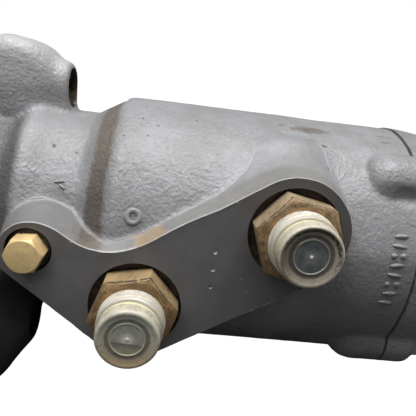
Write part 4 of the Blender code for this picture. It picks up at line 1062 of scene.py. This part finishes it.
gear_case = casting("gear_case_cast", bulk, 1.15, 6, waves=((24, 0.10), (8, 0.06), (3, 0.05)), seed=51)
tools = [
    plate([(-160, -160), (160, -160), (160, 160), (-160, 160)], -40, 0, "+Z", O),
    plate([(-160, -160), (160, -160), (160, 160), (-160, 160)], 149.7, 200, "+Z", O),
    plate([(-160, -160), (160, -160), (160, 160), (-160, 160)], 83.9, 140, "+X", OUT_AXIS),
    rod(53.0, 22, 160, "+Z", O, 128), rod(31.4, 30, 90, "+X", OUT_AXIS, 96), rod(35.5, 79.7, 90, "+X", OUT_AXIS, 96),
    rod(26.4, 18, 30, "+Z", O, 72),
]
for deg in LUGS:
    a = math.radians(deg)
    tools.append(rod(5.4, 67.0, 90, "+X", (0, -LUG_R * math.cos(a), MOTOR_Z + LUG_R * math.sin(a)), 32))
for sx in (-1, 1):
    for sy in (-1, 1):
        tools += [rod(6.5, -5, 40, "+Z", (sx * 56.5, sy * 56.5, 0), 48), rod(11.0, 15.0, 30, "+Z", (sx * 56.5, sy * 56.5, 0), 64)]
for k4 in range(4):
    a = math.tau * (k4 + 0.5) / 4
    tools.append(rod(3.2, 132, 160, "+Z", (58.5 * math.cos(a), 58.5 * math.sin(a), 0), 24))
for z in (34.0, 112.0):
    tools += [rod(8.3, 40, 80, "-X", (0, 0, z), 32), rod(13.2, 66.0, 80, "-X", (0, 0, z), 48)]
gear_case = cut(gear_case, *tools)
gear_case = join(gear_case, tube(26.4, 35.0, 18, 46.0, "+Z", O, 72), solver="EXACT")
case_paint = cast_paint("gear_case_cast", origin=OUT_AXIS)
show(gear_case, "gear_case_shell", "case", "gear_case_paint", "gear_case", mats=(case_paint,), angle=30)

top = turned(
    [(17.0, 146.3), (31.3, 146.3), (31.3, 125), (38.0, 125), (40.0, 146), (52.7, 146), (52.7, 150.8), (63.6, 150.8), (64.0, 151.2), (64.0, 158.2), (63.6, 159.2), (62.4, 160),
     (37.2, 160), (35.8, 160.3), (35.0, 161.2), (33.9, 163.5), (33.2, 164.0), (24.6, 164.0), (24.3, 163.7), (24.3, 154.0), (17.0, 154.0)],
    "+Z", O, 160,
)
tools = [rod(5.3, 140, 170, "+Z", (-45.5, 0, 0), 32)]
for k4 in range(4):
    a = math.tau * (k4 + 0.5) / 4
    tools.append(rod(3.3, 140, 170, "+Z", (58.5 * math.cos(a), 58.5 * math.sin(a), 0), 32))
top = cut(top, *tools, solver="EXACT")
show(top, "top_cover_plate", "case", "gear_case_paint", "top_cover", mats=(case_paint,), angle=35)

for k4 in range(4):
    a = math.tau * (k4 + 0.5) / 4
    at = (58.5 * math.cos(a), 58.5 * math.sin(a), 0)
    s = turned([(0, 134), (2.8, 134), (2.8, 160.3), (4.9, 160.3), (4.9, 165.7), (4.4, 166.3), (0, 166.3)], "+Z", at, 48)
    s = cut(s, plate(hexagon(5.0), 163.0, 170, "+Z", at), solver="EXACT")
    show(s, "top_socket_screw_%d" % (k4 + 1), "case", "screw_steel", "top_cover_screw_%d" % (k4 + 1), mats=(black,))

brass = plain("turned_brass", (0.40, 0.27, 0.10), (0.56, 0.40, 0.16), (0.28, 0.42), 5.0, 0.05, 0.9)
for name, z in (("oil_drain_plug", 34.0), ("oil_fill_plug", 112.0)):
    at = (0, 0, z)
    h = hex_head(19.0, 68.3, 76.5, "-X", at, 30, 0.47, 0.5)
    h = join(h, rod(12.0, 66.3, 68.6, "-X", at, 64, 0.3), solver="EXACT")
    h = join(h, rod(7.8, 56.5, 67, "-X", at, 48, 0.4), solver="EXACT")
    show(h, name + "_hex", "case", "brass_fittings", name, mats=(brass,))
b = turned(
    [(0, 150), (4.6, 150), (5.0, 150.5), (5.0, 160.3), (7.2, 160.3), (7.5, 160.6), (7.5, 163.7), (6.8, 164.3), (5.4, 165), (5.4, 167.5), (8.3, 168.4), (8.6, 168.8),
     (8.6, 170.2), (8.2, 170.5), (8.2, 171.3), (8.6, 171.6), (8.6, 174.6), (8.2, 176.0), (7.0, 177.2), (4.0, 177.9), (0, 178)], "+Z", (-45.5, 0, 0), 64)
show(b, "breather_cap", "case", "brass_fittings", "breather", mats=(brass,))

# ------------------------------------------------------------------ output shaft
ground = steel("ground_steel", (0.50, 0.50, 0.51), 0.95, (0.20, 0.32), (1, 1, 8.0), 0.25)
milled = steel("milled_steel", (0.42, 0.42, 0.43), 0.9, (0.28, 0.42), (1, 1, 1), 0.35)
shaft_steel = steel("shaft_steel", (0.45, 0.45, 0.46), 0.95, (0.22, 0.36), (6.0, 1, 1), 0.3)

# ------------------------------------------------------------------ every other CAD node
rubber = plain("nitrile", (0.012, 0.012, 0.013), (0.030, 0.029, 0.028), (0.5, 0.7), 3.0, 0.08)
fibre = plain("gasket_fibre", (0.075, 0.050, 0.030), (0.16, 0.115, 0.070), (0.7, 0.9), 1.5, 0.08)
gear_mat = steel("tooth_steel", (0.32, 0.32, 0.33), 0.9, (0.25, 0.38), (1, 1, 1), 0.4)
for name, obj in NODES.items():
    if name in ("bevel_gear", "bevel_pinion"):
        clothe(obj, gear_mat)
    elif "gasket" in name:
        clothe(obj, fibre)
    elif name.endswith("_seal") or "_seal_" in name:
        clothe(obj, rubber)
    elif name == "rear_bushing":
        clothe(obj, brass)
    elif name in ("output_shaft",):
        clothe(obj, ground)
    elif "bearing" in name or "rotor" in name or "ring" in name:
        clothe(obj, shaft_steel)
    else:
        clothe(obj, milled)

# ------------------------------------------------------------------ stage and light
scene = bpy.context.scene
scene.view_settings.view_transform = "Standard"

world = bpy.data.worlds.new("studio")
scene.world = world
world.use_nodes = True
wt = world.node_tree
bg = wt.nodes["Background"]
tc = wt.nodes.new("ShaderNodeTexCoord")
sep = wt.nodes.new("ShaderNodeSeparateXYZ")
wt.links.new(tc.outputs["Generated"], sep.inputs[0])
ramp = wt.nodes.new("ShaderNodeValToRGB")
ramp.color_ramp.elements[0].position, ramp.color_ramp.elements[0].color = 0.45, (0.03, 0.03, 0.03, 1)
ramp.color_ramp.elements[1].position, ramp.color_ramp.elements[1].color = 0.95, (0.62, 0.64, 0.66, 1)
half = wt.nodes.new("ShaderNodeMath")
half.operation = "MULTIPLY_ADD"
half.inputs[1].default_value, half.inputs[2].default_value = 0.5, 0.5
wt.links.new(sep.outputs[2], half.inputs[0])
wt.links.new(half.outputs[0], ramp.inputs[0])
path = wt.nodes.new("ShaderNodeLightPath")
white = wt.nodes.new("ShaderNodeBackground")
white.inputs[0].default_value, white.inputs[1].default_value = (1, 1, 1, 1), 1.0
mixs = wt.nodes.new("ShaderNodeMixShader")
wt.links.new(ramp.outputs[0], bg.inputs[0])
bg.inputs[1].default_value = 0.55
wt.links.new(path.outputs["Is Camera Ray"], mixs.inputs[0])
wt.links.new(bg.outputs[0], mixs.inputs[1])
wt.links.new(white.outputs[0], mixs.inputs[2])
wt.links.new(mixs.outputs[0], wt.nodes["World Output"].inputs[0])

floor = link("floor", bpy.data.meshes.new("floor"))
floor.data.from_pydata([(-6, -6, -0.0004), (6, -6, -0.0004), (6, 6, -0.0004), (-6, 6, -0.0004)], [], [(0, 1, 2, 3)])
fm = bpy.data.materials.new("floor")
fm.use_nodes = True
ft = fm.node_tree
ft.nodes.clear()
fo = ft.nodes.new("ShaderNodeOutputMaterial")
lp = ft.nodes.new("ShaderNodeLightPath")
glow, pale, dim = ft.nodes.new("ShaderNodeEmission"), ft.nodes.new("ShaderNodeBsdfDiffuse"), ft.nodes.new("ShaderNodeBsdfDiffuse")
glow.inputs[0].default_value, glow.inputs[1].default_value = (1, 1, 1, 1), 1.25
pale.inputs[0].default_value = (0.9, 0.9, 0.9, 1)
dim.inputs[0].default_value = (0.10, 0.10, 0.10, 1)
seen, either = ft.nodes.new("ShaderNodeMixShader"), ft.nodes.new("ShaderNodeMixShader")
seen.inputs[0].default_value = 0.18
ft.links.new(glow.outputs[0], seen.inputs[1])
ft.links.new(pale.outputs[0], seen.inputs[2])
ft.links.new(lp.outputs["Is Camera Ray"], either.inputs[0])
ft.links.new(dim.outputs[0], either.inputs[1])
ft.links.new(seen.outputs[0], either.inputs[2])
ft.links.new(either.outputs[0], fo.inputs[0])
floor.data.materials.append(fm)


def lamp(name, at, aim, size, watts, colour=(1, 1, 1)):
    data = bpy.data.lights.new(name, "AREA")
    data.shape, data.size, data.size_y, data.energy, data.color = "RECTANGLE", size[0], size[1], watts, colour
    obj = bpy.data.objects.new(name, data)
    scene.collection.objects.link(obj)
    obj.location = at
    obj.rotation_mode = "QUATERNION"
    obj.rotation_quaternion = (Vector(at) - Vector(aim)).to_track_quat("Z", "Y")
    return obj


lamp("overhead", (0.16, -0.20, 0.84), (0.17, 0.0, 0.1), (0.9, 0.45), 8.6)
lamp("left_front", (-0.35, -0.75, 0.75), (0.17, 0.0, 0.1), (0.5, 0.4), 2.0, (0.96, 0.98, 1.0))
